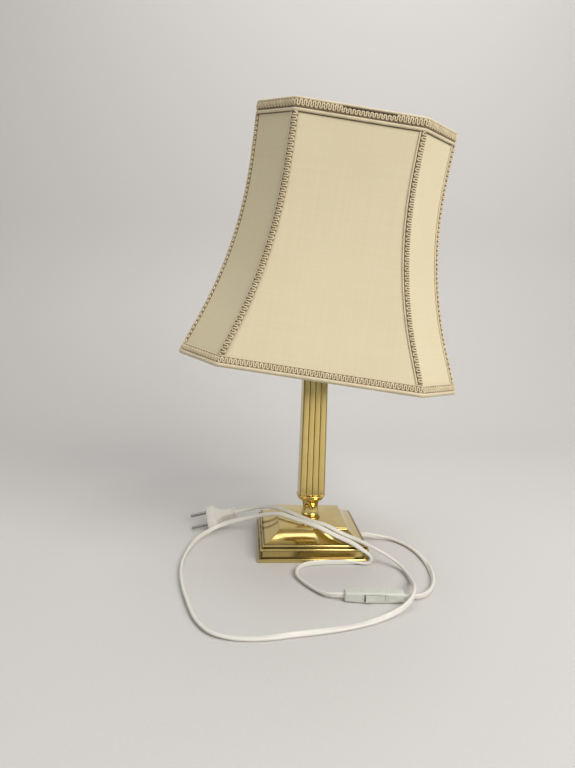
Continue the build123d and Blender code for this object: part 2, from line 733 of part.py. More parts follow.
def shade_parts():
    """Pieces of the shade in its own frame, bottom rim at height 0, sides square to X and Y."""
    side_outer = flared_prism(side_half, 0)
    side_inner = flared_prism(side_half, FABRIC)
    corner_outer = flared_prism(corner_half, 0)
    corner_inner = flared_prism(corner_half, FABRIC)
    size = 2 * SHADE_HEIGHT
    right_half = Pos(size / 2, 0, 0) * Box(size, size, 2 * size)

    side_panel = (side_outer - side_inner) & right_half
    side_panel = side_panel & (Rot(Z=45) * corner_outer) & (Rot(Z=-45) * corner_outer)
    corner_panel = Rot(Z=45) * ((corner_outer - corner_inner) & right_half)
    corner_panel = corner_panel & side_inner & (Rot(Z=90) * side_inner)

    braid_skin = bell_form(-BRAID) - bell_form(0)
    bottom_edge = BOTTOM_BRAID_WIDTH
    top_edge = SHADE_HEIGHT - TOP_BRAID_WIDTH
    rib_plane, _ = rib_curve()
    seam = seam_point(SHADE_WAIST_HEIGHT, 0)
    heading = math.degrees(math.atan2(rib_plane.x_dir.Y, rib_plane.x_dir.X))
    slab_place = Pos(seam.X, seam.Y, 0) * Rot(Z=heading) * Pos(size / 2 - SEAM_BRAID_WIDTH, 0, 0)
    seam_slab = slab_place * extrude(Rectangle(size, SEAM_BRAID_WIDTH), size)
    seam_braid = braid_skin & seam_slab & height_band(bottom_edge + BRAID_GAP, top_edge - BRAID_GAP)

    parts = {
        "shade_bottom_wire": wire_ring(WIRE_INSET),
        "shade_top_wire": wire_ring(SHADE_HEIGHT - WIRE_INSET),
        "shade_bottom_braid": braid_skin & height_band(0, bottom_edge),
        "shade_top_braid": braid_skin & height_band(top_edge, SHADE_HEIGHT),
        "shade_seam_braids": Compound(eight_fold(seam_braid)),
    }
    for turn, name in enumerate(("right", "back", "left", "front")):
        parts[f"shade_panel_{name}"] = Rot(Z=90 * turn) * side_panel
    for turn, name in enumerate(("back_right", "back_left", "front_left", "front_right")):
        parts[f"shade_corner_{name}"] = Rot(Z=90 * turn) * corner_panel
    for number, rib in enumerate(eight_fold(rib_form()), start=1):
        parts[f"shade_rib_{number}"] = rib

    carrier = Pos(0, 0, SHADE_PIVOT_HEIGHT) * Rot(Z=tilt_heading())
    gimbal = tube(GIMBAL_OUTER_RADIUS, GIMBAL_INNER_RADIUS, -GIMBAL_HEIGHT / 2, GIMBAL_HEIGHT)
    hole_reach = GIMBAL_OUTER_RADIUS - GIMBAL_WALL
    hole = Plane(origin=(-hole_reach, 0, 0), z_dir=(1, 0, 0)) * Circle(PIN_RADIUS + PIN_CLEARANCE)
    gimbal -= extrude(hole, 2 * hole_reach)
    parts["gimbal_ring"] = carrier * gimbal

    rib = rib_position(SHADE_PIVOT_HEIGHT)
    arm_plane = Plane(origin=(0, 0, 0), z_dir=(1, 0, 0))
    arm = carrier * extrude(arm_plane * Circle(WIRE_RADIUS), math.hypot(rib.X, rib.Y))
    arm -= carrier * Cylinder(GIMBAL_OUTER_RADIUS, 2 * GIMBAL_HEIGHT)
    saddle = Line(rib_position(0), rib_position(2 * SHADE_PIVOT_HEIGHT))
    arm -= sweep((saddle ^ 0) * Circle(WIRE_RADIUS + ARM_GAP), path=saddle)
    parts["gimbal_arms"] = Compound([Rot(Z=90 * turn) * arm for turn in range(4)])
    return parts


def tilt_heading():
    """Direction of the tilt axis in the shade's plan: towards the first rib."""
    rib = rib_position(SHADE_PIVOT_HEIGHT)
    return math.degrees(math.atan2(rib.Y, rib.X))


def place_shade(parts):
    """Shade pieces swivelled on the lampholder and tilted about the gimbal pins."""
    heading = tilt_heading()
    tilted = Rot(Z=heading) * Rot(X=SHADE_TILT) * Rot(Z=-heading)
    place = Pos(0, 0, PIVOT_Z) * Rot(Z=SHADE_SWIVEL) * tilted * Pos(0, 0, -SHADE_PIVOT_HEIGHT)
    return {name: place * solid for name, solid in parts.items()}


def fitter_part():
    fitter = tube(FITTER_RADIUS, HOLDER_RADIUS + FITTER_BORE_GAP, -FITTER_THICKNESS / 2, FITTER_THICKNESS)
    pin_root = FITTER_RADIUS - FITTER_THICKNESS / 2
    pin_end = GIMBAL_OUTER_RADIUS - GIMBAL_WALL - PIN_END_GAP
    for side in (-1, 1):
        pin_plane = Plane(origin=(side * pin_root, 0, 0), z_dir=(side, 0, 0))
        fitter += extrude(pin_plane * Circle(PIN_RADIUS), pin_end - pin_root)
    return Pos(0, 0, PIVOT_Z) * Rot(Z=SHADE_SWIVEL + tilt_heading()) * fitter


def switch_place():
    return Pos(SWITCH_PLACE_X, SWITCH_PLACE_Y, SWITCH_WIDTH / 2) * Rot(Z=SWITCH_HEADING)


def rocker_pin():
    """Middle of the rocker's pin."""
    return (switch_place() * Pos(0, ROCKER_PIN_DEPTH - SWITCH_THICKNESS / 2, 0)).position


def switch_end(side, straight):
    """Point straight out from the middle of the switch's left (-1) or right (1) end face."""
    return (switch_place() * Pos(side * (SWITCH_LENGTH / 2 + straight), 0, 0)).position


def rocker_form():
    """Rocker in its own frame: pin on the Z axis, hollow V of its face to -Y, right half pressed in."""
    half = ROCKER_LENGTH / 2
    rise = half * tangent(ROCKER_THROW)
    face = -ROCKER_PIN_DEPTH
    back = face + ROCKER_THICKNESS
    face_line = [(-half, face - rise), (0, face), (half, face - rise)]
    back_line = [(half, back - rise), (0, back), (-half, back - rise)]
    plan = make_face(Polyline(*face_line, *back_line, close=True))
    rocker = extrude(plan, ROCKER_WIDTH / 2, both=True)
    rocker += extrude(Circle(ROCKER_BOSS_RADIUS), ROCKER_WIDTH / 2, both=True)
    rocker -= extrude(Circle(ROCKER_PIN_RADIUS + PIN_CLEARANCE), ROCKER_WIDTH, both=True)
    return Rot(Z=ROCKER_THROW) * rocker


def switch_parts():
    """Switch pieces: length along X, rocker face towards -Y, then laid where the photographed one lies."""
    split = SWITCH_THICKNESS / 2 - SWITCH_BACK_THICKNESS
    middle_plan = RectangleRounded(SWITCH_THICKNESS, SWITCH_WIDTH, SWITCH_ROUND)
    end_plan = RectangleRounded(SWITCH_END_THICKNESS, SWITCH_END_WIDTH, SWITCH_ROUND)
    sections = []
    for across, plan in ((-SWITCH_LENGTH / 2, end_plan), (0, middle_plan), (SWITCH_LENGTH / 2, end_plan)):
        sections.append(Plane(origin=(across, 0, 0), x_dir=(0, 1, 0), z_dir=(1, 0, 0)) * plan)
    body = loft(sections)
    ends = body.faces().sort_by(Axis.X)
    body = fillet(ends[0].edges() + ends[-1].edges(), SWITCH_END_ROUND)
    cavity_depth = SWITCH_THICKNESS - 2 * SWITCH_WALL
    cavity_width = SWITCH_WIDTH - 2 * SWITCH_WALL
    body -= Box(SWITCH_CAVITY_LENGTH, cavity_depth, cavity_width)
    front_face = Pos(0, -SWITCH_THICKNESS / 2, 0)
    body -= front_face * Box(SWITCH_FRAME_LENGTH, 2 * SWITCH_FRAME_DEPTH, SWITCH_WIDTH)
    window_length = ROCKER_LENGTH + 2 * ROCKER_END_GAP
    window_width = ROCKER_WIDTH + 2 * ROCKER_SIDE_GAP
    body -= front_face * Box(window_length, SWITCH_THICKNESS, window_width)

    screws = []
    head_y = SWITCH_END_THICKNESS / 2
    tip_y = head_y - SWITCH_SCREW_LENGTH
    for side in (-1, 1):
        tip = Plane(origin=(side * SWITCH_SCREW_SPACING / 2, tip_y, 0), z_dir=(0, 1, 0))
        screws.append(extrude(tip * Circle(SWITCH_SCREW_RADIUS), SWITCH_SCREW_LENGTH))
        body -= extrude(tip * Circle(SWITCH_SCREW_RADIUS + SCREW_GAP), SWITCH_THICKNESS)

    pin_y = ROCKER_PIN_DEPTH - SWITCH_THICKNESS / 2
    pin_length = cavity_width + 2 * ROCKER_PIN_SEAT
    body -= Pos(0, pin_y, 0) * Cylinder(ROCKER_PIN_RADIUS + ROCKER_PIN_FIT, pin_length)

    front_box = Box(2 * SWITCH_LENGTH, 2 * SWITCH_THICKNESS, 2 * SWITCH_WIDTH)
    front_half = Pos(0, split - SWITCH_THICKNESS, 0) * front_box
    strip_y = SWITCH_THICKNESS / 2 - SWITCH_WALL - STRIP_THICKNESS / 2
    strip = Box(STRIP_LENGTH, STRIP_THICKNESS, STRIP_WIDTH)
    strips = [Pos(side * STRIP_SPACING / 2, strip_y, 0) * strip for side in (-1, 1)]

    parts = {
        "switch_front": body & front_half,
        "switch_back": body - front_half,
        "switch_pivot": Pos(0, pin_y, 0) * Cylinder(ROCKER_PIN_RADIUS, pin_length),
        "switch_contacts": Compound(strips),
        "switch_screws": Compound(screws),
        "switch_rocker": Pos(0, pin_y, 0) * rocker_form(),
    }
    return {name: switch_place() * solid for name, solid in parts.items()}


def plug_outline():
    """Eight-sided outline of the plug's body, centred, wide along X."""
    wide = PLUG_WIDTH / 2
    deep = PLUG_THICKNESS / 2
    edge = PLUG_EDGE / 2
    flat = PLUG_FLAT_WIDTH / 2
    upper = [(wide, edge), (flat, deep), (-flat, deep), (-wide, edge)]
    return upper + [(-x, -y) for x, y in upper]


def plug_plane():
    """Plane of the plug's face: +Z along the pins, X across them, its lowest edge on the floor."""
    heading = math.radians(PLUG_HEADING)
    roll = math.radians(PLUG_ROLL)
    dip = math.radians(PLUG_DIP)
    low = max(abs(x) * math.sin(roll) + abs(y) * math.cos(roll) for x, y in plug_outline())
    ahead = Vector(math.cos(heading), math.sin(heading), 0)
    pins = ahead * math.cos(dip) - Vector(0, 0, 1) * math.sin(dip)
    level = Vector(math.sin(heading), -math.cos(heading), 0)
    across = level * math.cos(roll) + level.cross(pins) * math.sin(roll)
    return Plane(origin=(PLUG_FACE_X, PLUG_FACE_Y, low * math.cos(dip)), x_dir=across, z_dir=pins)


def plug_end(straight):
    """Point straight out from the end of the plug's strain relief."""
    plane = plug_plane()
    return plane.origin - plane.z_dir * (PLUG_BODY_LENGTH + PLUG_TAPER_LENGTH + RELIEF_LENGTH + straight)


def plug_parts():
    """Plug pieces in the frame of its face, then laid where the photographed one lies."""
    face = make_face(Polyline(*plug_outline(), close=True))
    body = extrude(face, -PLUG_BODY_LENGTH)
    neck_z = -PLUG_BODY_LENGTH - PLUG_TAPER_LENGTH
    hollow_z = -PLUG_BODY_LENGTH - PLUG_TAPER_LENGTH / 2
    shoulder_plan = RectangleRounded(PLUG_SHOULDER_WIDTH, PLUG_SHOULDER_THICKNESS, PLUG_SHOULDER_ROUND)
    hollow_plan = RectangleRounded(PLUG_HOLLOW_WIDTH, PLUG_HOLLOW_THICKNESS, PLUG_HOLLOW_ROUND)
    relief_plan = RectangleRounded(RELIEF_WIDTH, RELIEF_THICKNESS, RELIEF_ROUND)
    neck = Pos(0, 0, neck_z) * relief_plan
    body += loft([Pos(0, 0, -PLUG_BODY_LENGTH) * shoulder_plan, Pos(0, 0, hollow_z) * hollow_plan, neck])

    pins = []
    for side in (-1, 1):
        spot = Pos(side * PLUG_PIN_PITCH / 2, 0, 0)
        body -= spot * extrude(Circle(PLUG_PIN_ROOT_RADIUS + PLUG_PIN_FIT), -PLUG_PIN_SEAT)
        pin = extrude(Circle(PLUG_PIN_RADIUS), PLUG_PIN_LENGTH)
        pin = fillet(pin.faces().sort_by(Axis.Z)[-1].edges(), PLUG_PIN_ROUND)
        pin += extrude(Circle(PLUG_PIN_ROOT_RADIUS), -PLUG_PIN_SEAT)
        pins.append(spot * pin)

    relief = extrude(neck, -RELIEF_LENGTH)
    collar_z = neck_z - RELIEF_LENGTH + RELIEF_COLLAR_LENGTH
    collar_plan = offset(relief_plan, RELIEF_COLLAR_REACH)
    relief += Pos(0, 0, collar_z) * extrude(collar_plan, -RELIEF_COLLAR_LENGTH)

    plane = plug_plane()
    parts = {"plug_body": body, "plug_relief": relief, "plug_pins": Compound(pins)}
    return {name: plane * solid for name, solid in parts.items()}


def flex_form(name, points):
    """Tube along straight runs joined by the largest arcs that the runs allow."""
    spots = [Vector(point) for point in points]
    radii = []
    for before, corner, after in zip(spots, spots[1:], spots[2:]):
        turn = (corner - before).get_angle(after - corner)
        run = min((corner - before).length, (after - corner).length)
        radii.append(ARC_SHARE * run / tangent(turn / 2))
    path = FilletPolyline(*spots, radius=radii)
    solid = sweep((path ^ 0) * Circle(FLEX_RADIUS), path=path)
    share = solid.volume / (math.pi * FLEX_RADIUS**2 * path.length)
    print(f"{name}: length {path.length:.0f} mm, volume over section times length {share:.4f}")
    print("  bend radii", [round(radius, 1) for radius in radii])
    return solid


def flex_parts():
    exit_run = (BASE_HALF + EXIT_STRAIGHT, 0, GROMMET_Z)
    bushing_end = WALL_HALF - SHEET - GROMMET_LIP - LEAD_STRAIGHT
    inside = [
        FLEX_EXIT,
        (bushing_end, 0, GROMMET_Z),
        (bushing_end - LEAD_SAG_RUN, 0, LEAD_LOW),
        (0, 0, LEAD_LOW),
        (0, 0, HOLDER_BOTTOM),
    ]
    path = FilletPolyline(*inside, radius=[LEAD_SAG_BEND, LEAD_SAG_BEND, LEAD_BEND])
    to_switch = [FLEX_EXIT, exit_run, *BASE_TO_SWITCH, switch_end(1, SWITCH_STRAIGHT), switch_end(1, 0)]
    to_plug = [switch_end(-1, 0), switch_end(-1, SWITCH_STRAIGHT), *SWITCH_TO_PLUG]
    to_plug += [plug_end(PLUG_STRAIGHT), plug_end(0)]
    return {
        "flex_inside": sweep((path ^ 0) * Circle(FLEX_RADIUS), path=path),
        "flex_base_to_switch": flex_form("base to switch", to_switch),
        "flex_switch_to_plug": flex_form("switch to plug", to_plug),
    }


parts = {}
parts.update(base_parts())
parts["neck"] = neck_part()
parts.update(column_parts())
parts.update(lampholder_parts())
parts.update(bulb_parts())
parts["fitter_ring"] = fitter_part()
parts.update(place_shade(shade_parts()))
parts.update(switch_parts())
parts.update(plug_parts())
parts.update(flex_parts())

os.makedirs("parts", exist_ok=True)
for name, solid in parts.items():
    export_step(solid, f"parts/{name}.step")
axis_heading = SHADE_SWIVEL + tilt_heading()
print(f"{len(parts)} pieces, tilt axis heading {axis_heading:.4f}, pivot height {PIVOT_Z:.2f}")
print("rocker pin", rocker_pin(), "plug face", plug_plane())
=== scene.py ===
import bmesh
import bpy
from math import acos, cos, hypot, pi, radians as rad, sin, sqrt, tan
from mathutils import Matrix, Vector


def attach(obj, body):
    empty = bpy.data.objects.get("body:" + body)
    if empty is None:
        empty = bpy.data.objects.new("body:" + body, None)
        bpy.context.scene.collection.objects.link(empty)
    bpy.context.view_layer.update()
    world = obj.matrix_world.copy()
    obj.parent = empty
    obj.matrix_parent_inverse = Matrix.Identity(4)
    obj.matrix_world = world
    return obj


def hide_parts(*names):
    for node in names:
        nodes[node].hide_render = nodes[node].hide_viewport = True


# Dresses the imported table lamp: brass base and column, cloth shade with its braids, flex, switch and plug
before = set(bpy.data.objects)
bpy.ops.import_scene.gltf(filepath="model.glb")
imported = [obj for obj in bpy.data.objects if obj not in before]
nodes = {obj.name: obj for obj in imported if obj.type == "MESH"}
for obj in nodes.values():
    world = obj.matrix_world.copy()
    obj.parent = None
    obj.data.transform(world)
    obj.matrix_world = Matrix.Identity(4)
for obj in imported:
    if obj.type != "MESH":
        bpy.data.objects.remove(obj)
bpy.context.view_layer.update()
scene = bpy.context.scene

# Lengths are in millimetres, which MM turns into the scene's metres, and angles are in degrees
MM = 0.001

# Base shell, from its foot up
SHELL = 1.2
SHELL_INSIDE_TOP = 9.0
FLANGE_HALF = 58.4
FLANGE_TOP = 4.3
FLANGE_ROUND = 1.6
WALL_HALF = 55.2
WALL_TOP = 11.0
BEAD_HEIGHT = 3.3
BEAD_ROUND = 1.5
LOWER_BEAD_HALF = 56.0
UPPER_BEAD_HALF = 53.7
UPPER_BEAD_BOTTOM = 14.3
COVE_HALF = 53.3
COVE_BOTTOM = 17.6
COVE_TOP = 28.4
COVE_SAG = 1.4
TOP_HALF = 37.0
TOP_HOLE_HALF = 7.0
BASE_HEIGHT = 30.0
BASE_CORNER = 0.9
BASE_SOFTNESS = 0.35

# Turned neck, with heights from the base's top; pairs are radius and height
TUBE_HOLE = 5.2
FOOT_RADIUS = 11.4
FOOT_TOP = 2.0
FOOT_BEAD_RADIUS = 9.2
FOOT_BEAD_HEIGHT = 3.6
FOOT_BEAD_BULGE = 1.0
FOOT_BEAD_TOP = 5.6
NECK_WAIST = (8.5, 11.6)
BOWL_FOOT = (10.4, 19.7)
BOWL_RIM = (15.9, 25.2)
BOWL_BULGE = 1.3
BOWL_RIM_HEIGHT = 1.8
BOWL_RIM_BULGE = 0.5
NECK_HEIGHT = 27.0
NECK_SOFTNESS = 0.3

# Reeded column
COLUMN_BOTTOM = 57.0
COLUMN_TOP = 194.0
COLUMN_FOOT_HALF = 14.3
COLUMN_HEAD_HALF = 13.2
REED_HEIGHT = 1.2
REED_EDGE = 1.3
REED_EDGE_STEPS = 6
REED_END = 2.2
REED_END_STEPS = 5
REEDS_PER_FACE = 4

# Share of painted shadow where two mouldings meet, and in the grooves between the reeds
JOINT_SHADOW = 0.85
GROOVE_SHADOW = 0.9
GROOVE_FADE = 1.5

# Shade, in its own frame with the bottom rim at height 0
SHADE_HEIGHT = 238.0
WAIST_HEIGHT = 189.0
FLARE_STRAIGHT = 36.5
FABRIC = 0.8
PIVOT_Z = 222.4
PIVOT_HEIGHT = 11.8
TILT = 8.7
SWIVEL = -3.9
TILT_HEADING = 54.9513

# Outlines of the wide sides and the cut corners: half width at the waist, flare angle, angle of the top lip
SIDE_OUTLINE = (92.2, 20.1, 1.5)
CORNER_OUTLINE = (105.5, 26.5, 2.0)

# Cloth: how far each panel is drawn in between its ribs, and the steps of its mesh
SIDE_BOW = 1.2
CORNER_BOW = 0.2
PANEL_ROWS = 72
PANEL_COLUMNS = 24

# Braids on the seams and rims: where they lie, pitch, lean and lift of the loops, and the ribbon under them
SEAM_BOTTOM = 10.5
SEAM_TOP = 225.5
SEAM_PITCH = 4.3
SEAM_FOLD = 2.5
RIM_PITCH = 3.9
RIM_STEP = 1.0
RIM_CORNER = 5.0
TOP_TRIM_DROP = 6.0
BOTTOM_TRIM_RISE = 5.0
LOOP_STEPS = 16
LOOP_LEAN = 0.45
LOOP_LIFT = 0.95
LOOP_WAVE = 0.2
RIBBON_BACK = 0.05
RIBBON_FRONT = 0.45
RIBBON_STEPS = 8
SEAM_RIBBON_HALF = 2.7

# Stretch of the front's top rim where the loops have slipped down, in shares of the front's half width
SLIP_FROM = -0.34
SLIP_TO = 0.58
SLIP_EASE = 0.1

# How far the loops have dropped there, and how much of their reach they have lost
SLIP_DROP = 0.9
SLIP_SQUEEZE = 0.6

# Flex, drawn flat: two cores side by side, lying flat or standing on edge on the floor
FLEX_WIDTH = 5.2
FLEX_THICKNESS = 3.0
FLAT_LIE = 1.6
NEAR_FLAT_LIE = 1.9
LEANING_LIE = 2.4
EDGE_LIE = 2.7

# Switch and plug on the flex
SWITCH_AT = (44.5, -139.8, 5.1)
SWITCH_HEADING = -3.0
SWITCH_HALF = 27.4
SWITCH_STRAIGHT = 7.5
PLUG_AT = (-119.6, 41.3, 11.17)
PLUG_HEADING = 185.0
PLUG_ROLL = 28.0
PLUG_DIP = 11.5
PLUG_LENGTH = 35.0
PLUG_STRAIGHT = 6.0

# Plug body: half sizes, facing and distance of its slanted sides, and depth and inset of its rings
PLUG_HALF_WIDTH = 17.5
PLUG_HALF_THICKNESS = 6.8
PLUG_SLANT = 52.55
PLUG_SLANT_DISTANCE = 12.39
PLUG_SHARPNESS = 36.0
PLUG_BODY = [(0.0, 1.3), (0.12, 0.7), (0.45, 0.25), (1.1, 0.0), (10.2, 0.0), (10.7, 0.2), (11.0, 0.6)]

# Hollow shoulders and strain relief of the plug: half width, half thickness and depth
RELIEF = (5.4, 4.2)
GROOVE = (4.8, 3.6)
COLLAR = (6.0, 4.8)
PLUG_TAIL = [
    (15.4, 5.9, 11.25),
    (12.6, 5.45, 12.3),
    (10.1, 5.1, 13.7),
    (8.0, 4.8, 15.4),
    (6.4, 4.45, 17.4),
    (*RELIEF, 19.5),
    (*RELIEF, 21.4),
    (*RELIEF, 21.7),
    (*RELIEF, 30.0),
    (*RELIEF, 30.3),
    (*RELIEF, 31.3),
    (*GROOVE, 31.6),
    (*GROOVE, 32.7),
    (*RELIEF, 33.0),
    (*COLLAR, 33.3),
    (*COLLAR, 34.6),
    (*RELIEF, PLUG_LENGTH),
]
TAIL_SHARPNESS = 6.0

# Panel sunk in each broad side of the strain relief
PANEL_START = 21.5
PANEL_END = 30.1
PANEL_HALF = 3.4
PANEL_SHARE = 0.88

# Camera at the photograph's place
CAMERA_AT = (-76.5, -632.5, 259.3)
CAMERA_YAW = 4.19
CAMERA_PITCH = 7.04
CAMERA_ROLL = 1.67
CAMERA_LENS = 27.05
SENSOR_HEIGHT = 36.0
CLIP_START = 0.01

# Stage: a floor that bends up into a backdrop
STAGE_HALF_WIDTH = 3500
STAGE_FRONT = -3000
STAGE_BEND_AT = 500
STAGE_BEND = 500
STAGE_BEND_STEPS = 12
STAGE_TOP = 2600

# Room beyond the stage: its grey, its strength as a light, and its strength where it is seen
ROOM_GREY = 0.80
ROOM_LIGHT = 0.1
ROOM_SEEN = 0.55


def eased(share):
    """Share from 0 to 1 with a soft start and end."""
    return share * share * (3 - 2 * share)


def about_z(angle):
    """Turn about the Z axis."""
    return Matrix.Rotation(rad(angle), 4, "Z")


def rolled(level, upward, angle):
    """Two axes at right angles, turned together in their plane."""
    roll = rad(angle)
    wide = level * cos(roll) + upward * sin(roll)
    thin = upward * cos(roll) - level * sin(roll)
    return wide, thin


def lengths_along(points):
    """Length from the start of a line to each of its points."""
    lengths = [0.0]
    for here, there in zip(points, points[1:]):
        lengths.append(lengths[-1] + (there - here).length)
    return lengths


# Mesh tools

def mesh_object(name, points, faces, place=None, smooth_angle=40.0):
    """Object with the given points in millimetres, moved by place, shaded smooth up to an angle."""
    place = place or Matrix()
    mesh = bpy.data.meshes.new(name)
    mesh.from_pydata([(place @ Vector(point)) * MM for point in points], [], faces)
    mesh.validate()
    mesh.shade_smooth()
    mesh.set_sharp_from_angle(angle=rad(smooth_angle))
    piece = bpy.data.objects.new(name, mesh)
    scene.collection.objects.link(piece)
    return piece


def ring_faces(rings, count, closed_rings=False):
    """Quads between rings of points that each go round."""
    faces = []
    last = rings if closed_rings else rings - 1
    for ring in range(last):
        here = ring * count
        there = ((ring + 1) % rings) * count
        for step in range(count):
            following = (step + 1) % count
            faces.append((here + step, here + following, there + following, there + step))
    return faces


def loft(name, rings, place=None, capped=False, closed=False, smooth_angle=40.0):
    """Skin over rings of equally many points, with flat caps where asked, or closed into a loop."""
    count = len(rings[0])
    points = [point for ring in rings for point in ring]
    faces = ring_faces(len(rings), count, closed)
    if capped:
        faces.append(tuple(reversed(range(count))))
        faces.append(tuple(range(len(points) - count, len(points))))
    piece = mesh_object(name, points, faces, place, smooth_angle)
    form = bmesh.new()
    form.from_mesh(piece.data)
    bmesh.ops.recalc_face_normals(form, faces=form.faces)
    form.to_mesh(piece.data)
    form.free()
    return piece


def new_curve(name, kind, lines):
    """Curve object with a spline along each line of points in millimetres."""
    curve = bpy.data.curves.new(name, "CURVE")
    curve.dimensions = "3D"
    for line in lines:
        spline = curve.splines.new(kind)
        spline.points.add(len(line) - 1)
        for spot, point in zip(spline.points, line):
            spot.co = (*(Vector(point) * MM), 1)
    piece = bpy.data.objects.new(name, curve)
    scene.collection.objects.link(piece)
    return piece


def lathe(name, outline, steps=96):
    """Form turned about the Z axis from radius and height pairs."""
    rings = []
    for radius, height in outline:
        ring = []
        for step in range(steps):
            angle = 2 * pi * step / steps
            ring.append((radius * cos(angle), radius * sin(angle), height))
        rings.append(ring)
    return loft(name, rings, smooth_angle=30.0)


def bulge(half, low, height, reach, steps=8):
    """Half-round moulding between two heights on an upright line."""
    points = []
    for step in range(steps + 1):
        angle = pi * (step / steps - 0.5)
        points.append((half + reach * cos(angle), low + height / 2 * (1 + sin(angle))))
    return points


def hollow(start, end, sag, steps=14):
    """Hollow moulding between two points, sagging inwards from its chord."""
    start = Vector(start)
    end = Vector(end)
    chord = end - start
    inward = Vector((-chord.y, chord.x)).normalized()
    points = []
    for step in range(steps + 1):
        share = step / steps
        points.append(tuple(start.lerp(end, share) + inward * sag * 4 * share * (1 - share)))
    return points


def flare(waist, end, steps=8):
    """Curve that leaves an upright waist and turns outwards to its end, without the waist itself."""
    reach = end[0] - waist[0]
    rise = end[1] - waist[1]
    radius = (reach**2 + rise**2) / (2 * reach)
    points = []
    for step in range(1, steps + 1):
        up = rise * step / steps
        points.append((waist[0] + radius - sqrt(radius**2 - up**2), waist[1] + up))
    return points


def corner_arc(first, corner, last, steps):
    """Points on a smooth turn from first to last, drawn towards the corner between them."""
    points = []
    for step in range(steps + 1):
        share = step / steps
        points.append(first.lerp(corner, share).lerp(corner.lerp(last, share), share))
    return points


def softened(outline, radius, steps=3, least_turn=35.0, most_cut=0.4):
    """Outline with its sharp corners rounded off a little."""
    points = [outline[0]]
    for before, corner, after in zip(outline, outline[1:], outline[2:]):
        middle = Vector(corner)
        back = Vector(before) - middle
        ahead = Vector(after) - middle
        if back.angle(-ahead) < rad(least_turn):
            points.append(corner)
            continue
        cut = min(radius, back.length * most_cut, ahead.length * most_cut)
        first = middle + back.normalized() * cut
        last = middle + ahead.normalized() * cut
        points += [tuple(point) for point in corner_arc(first, middle, last, steps)]
    points.append(outline[-1])
    return points


def rounded_square(half, corner, height, steps=4):
    """Ring of points round a square with rounded corners."""
    ring = []
    for turn in range(4):
        for step in range(steps + 1):
            angle = pi / 2 * (turn + step / steps)
            middle = pi / 2 * turn + pi / 4
            centre = (half - corner) * sqrt(2)
            x = centre * cos(middle) + corner * cos(angle)
            y = centre * sin(middle) + corner * sin(angle)
            ring.append((x, y, height))
    return ring


# Materials

# Name of the mesh value that says how much painted shadow darkens a point of the brass
PAINTED_SHADOW = "painted_shadow"

# Span that most values of a cloudy pattern lie in
CLOUD_LOW = 0.3
CLOUD_HIGH = 0.7

# Places of the colours among the mix node's inputs and outputs
MIX_FIRST = 6
MIX_SECOND = 7
MIX_RESULT = 2


def connect(socket, value):
    """Sets a socket's value, or links it where the value is the output of a node."""
    if isinstance(value, bpy.types.NodeSocket):
        socket.id_data.links.new(value, socket)
    else:
        socket.default_value = value


def feed(node, **inputs):
    """Sets or links a node's inputs by name."""
    for name, value in inputs.items():
        connect(node.inputs[name.replace("_", " ")], value)


def add_node(tree, kind, settings=None, **inputs):
    """Shader node with its settings, and its inputs set or linked by name."""
    node = tree.nodes.new("ShaderNode" + kind)
    for name, value in (settings or {}).items():
        setattr(node, name, value)
    feed(node, **inputs)
    return node


def arithmetic(operation, first, second):
    """Result of an operation on two values, the first of them the output of a node."""
    node = add_node(first.id_data, "Math", {"operation": operation})
    connect(node.inputs[0], first)
    connect(node.inputs[1], second)
    return node.outputs[0]


def two_colours(factor, first, second):
    """Colour between two colours by a factor; the first may be the output of a node."""
    node = add_node(factor.id_data, "Mix", {"data_type": "RGBA"}, Factor=factor)
    if not isinstance(first, bpy.types.NodeSocket):
        first = (*first, 1)
    connect(node.inputs[MIX_FIRST], first)
    connect(node.inputs[MIX_SECOND], (*second, 1))
    return node.outputs[MIX_RESULT]


def spread(value, low, high, to_low=0.0, to_high=1.0):
    """Value stretched from one span to another and clamped."""
    spans = {"From_Min": low, "From_Max": high, "To_Min": to_low, "To_Max": to_high}
    return add_node(value.id_data, "MapRange", Value=value, **spans).outputs[0]


def noise(tree, scale, detail, stretch=(1, 1, 1)):
    """Cloudy pattern, in features per metre, stretched along the axes."""
    place = add_node(tree, "TexCoord").outputs["Object"]
    mapping = add_node(tree, "Mapping", Vector=place, Scale=stretch)
    cloud = add_node(tree, "TexNoise", Vector=mapping.outputs[0], Scale=scale, Detail=detail)
    return cloud.outputs["Fac"]


def bump(height, distance, strength):
    tree = height.id_data
    return add_node(tree, "Bump", Height=height, Distance=distance, Strength=strength).outputs[0]


def new_material(name):
    made = bpy.data.materials.new(name)
    made.use_nodes = True
    tree = made.node_tree
    return made, tree, tree.nodes["Principled BSDF"]


def brass_material():
    """Polished, lacquered brass with faint hand marks, darker spots and painted shadow in its grooves and
    joints.
    """
    made, tree, shader = new_material("polished_brass")
    cloud = noise(tree, scale=60, detail=4)
    spots = spread(noise(tree, scale=420, detail=2), low=0.68, high=0.78, to_high=0.25)
    # The mesh value is painted shadow that darkens the brass in the grooves and where mouldings meet
    painted_shadow = add_node(tree, "Attribute", {"attribute_name": PAINTED_SHADOW}).outputs["Fac"]
    tone = two_colours(cloud, (0.62, 0.47, 0.165), (0.76, 0.60, 0.25))
    darkness = arithmetic("MAXIMUM", spots, painted_shadow)
    scratches = noise(tree, scale=900, detail=2, stretch=(1, 1, 0.08))
    feed(
        shader,
        Base_Color=two_colours(darkness, tone, (0.07, 0.04, 0.012)),
        Metallic=1.0,
        Roughness=spread(cloud, CLOUD_LOW, CLOUD_HIGH, to_low=0.07, to_high=0.15),
        Normal=bump(scratches, distance=0.00003, strength=0.15),
    )
    return made


def darker(colour, worn):
    return tuple(part * (1 - worn) for part in colour)


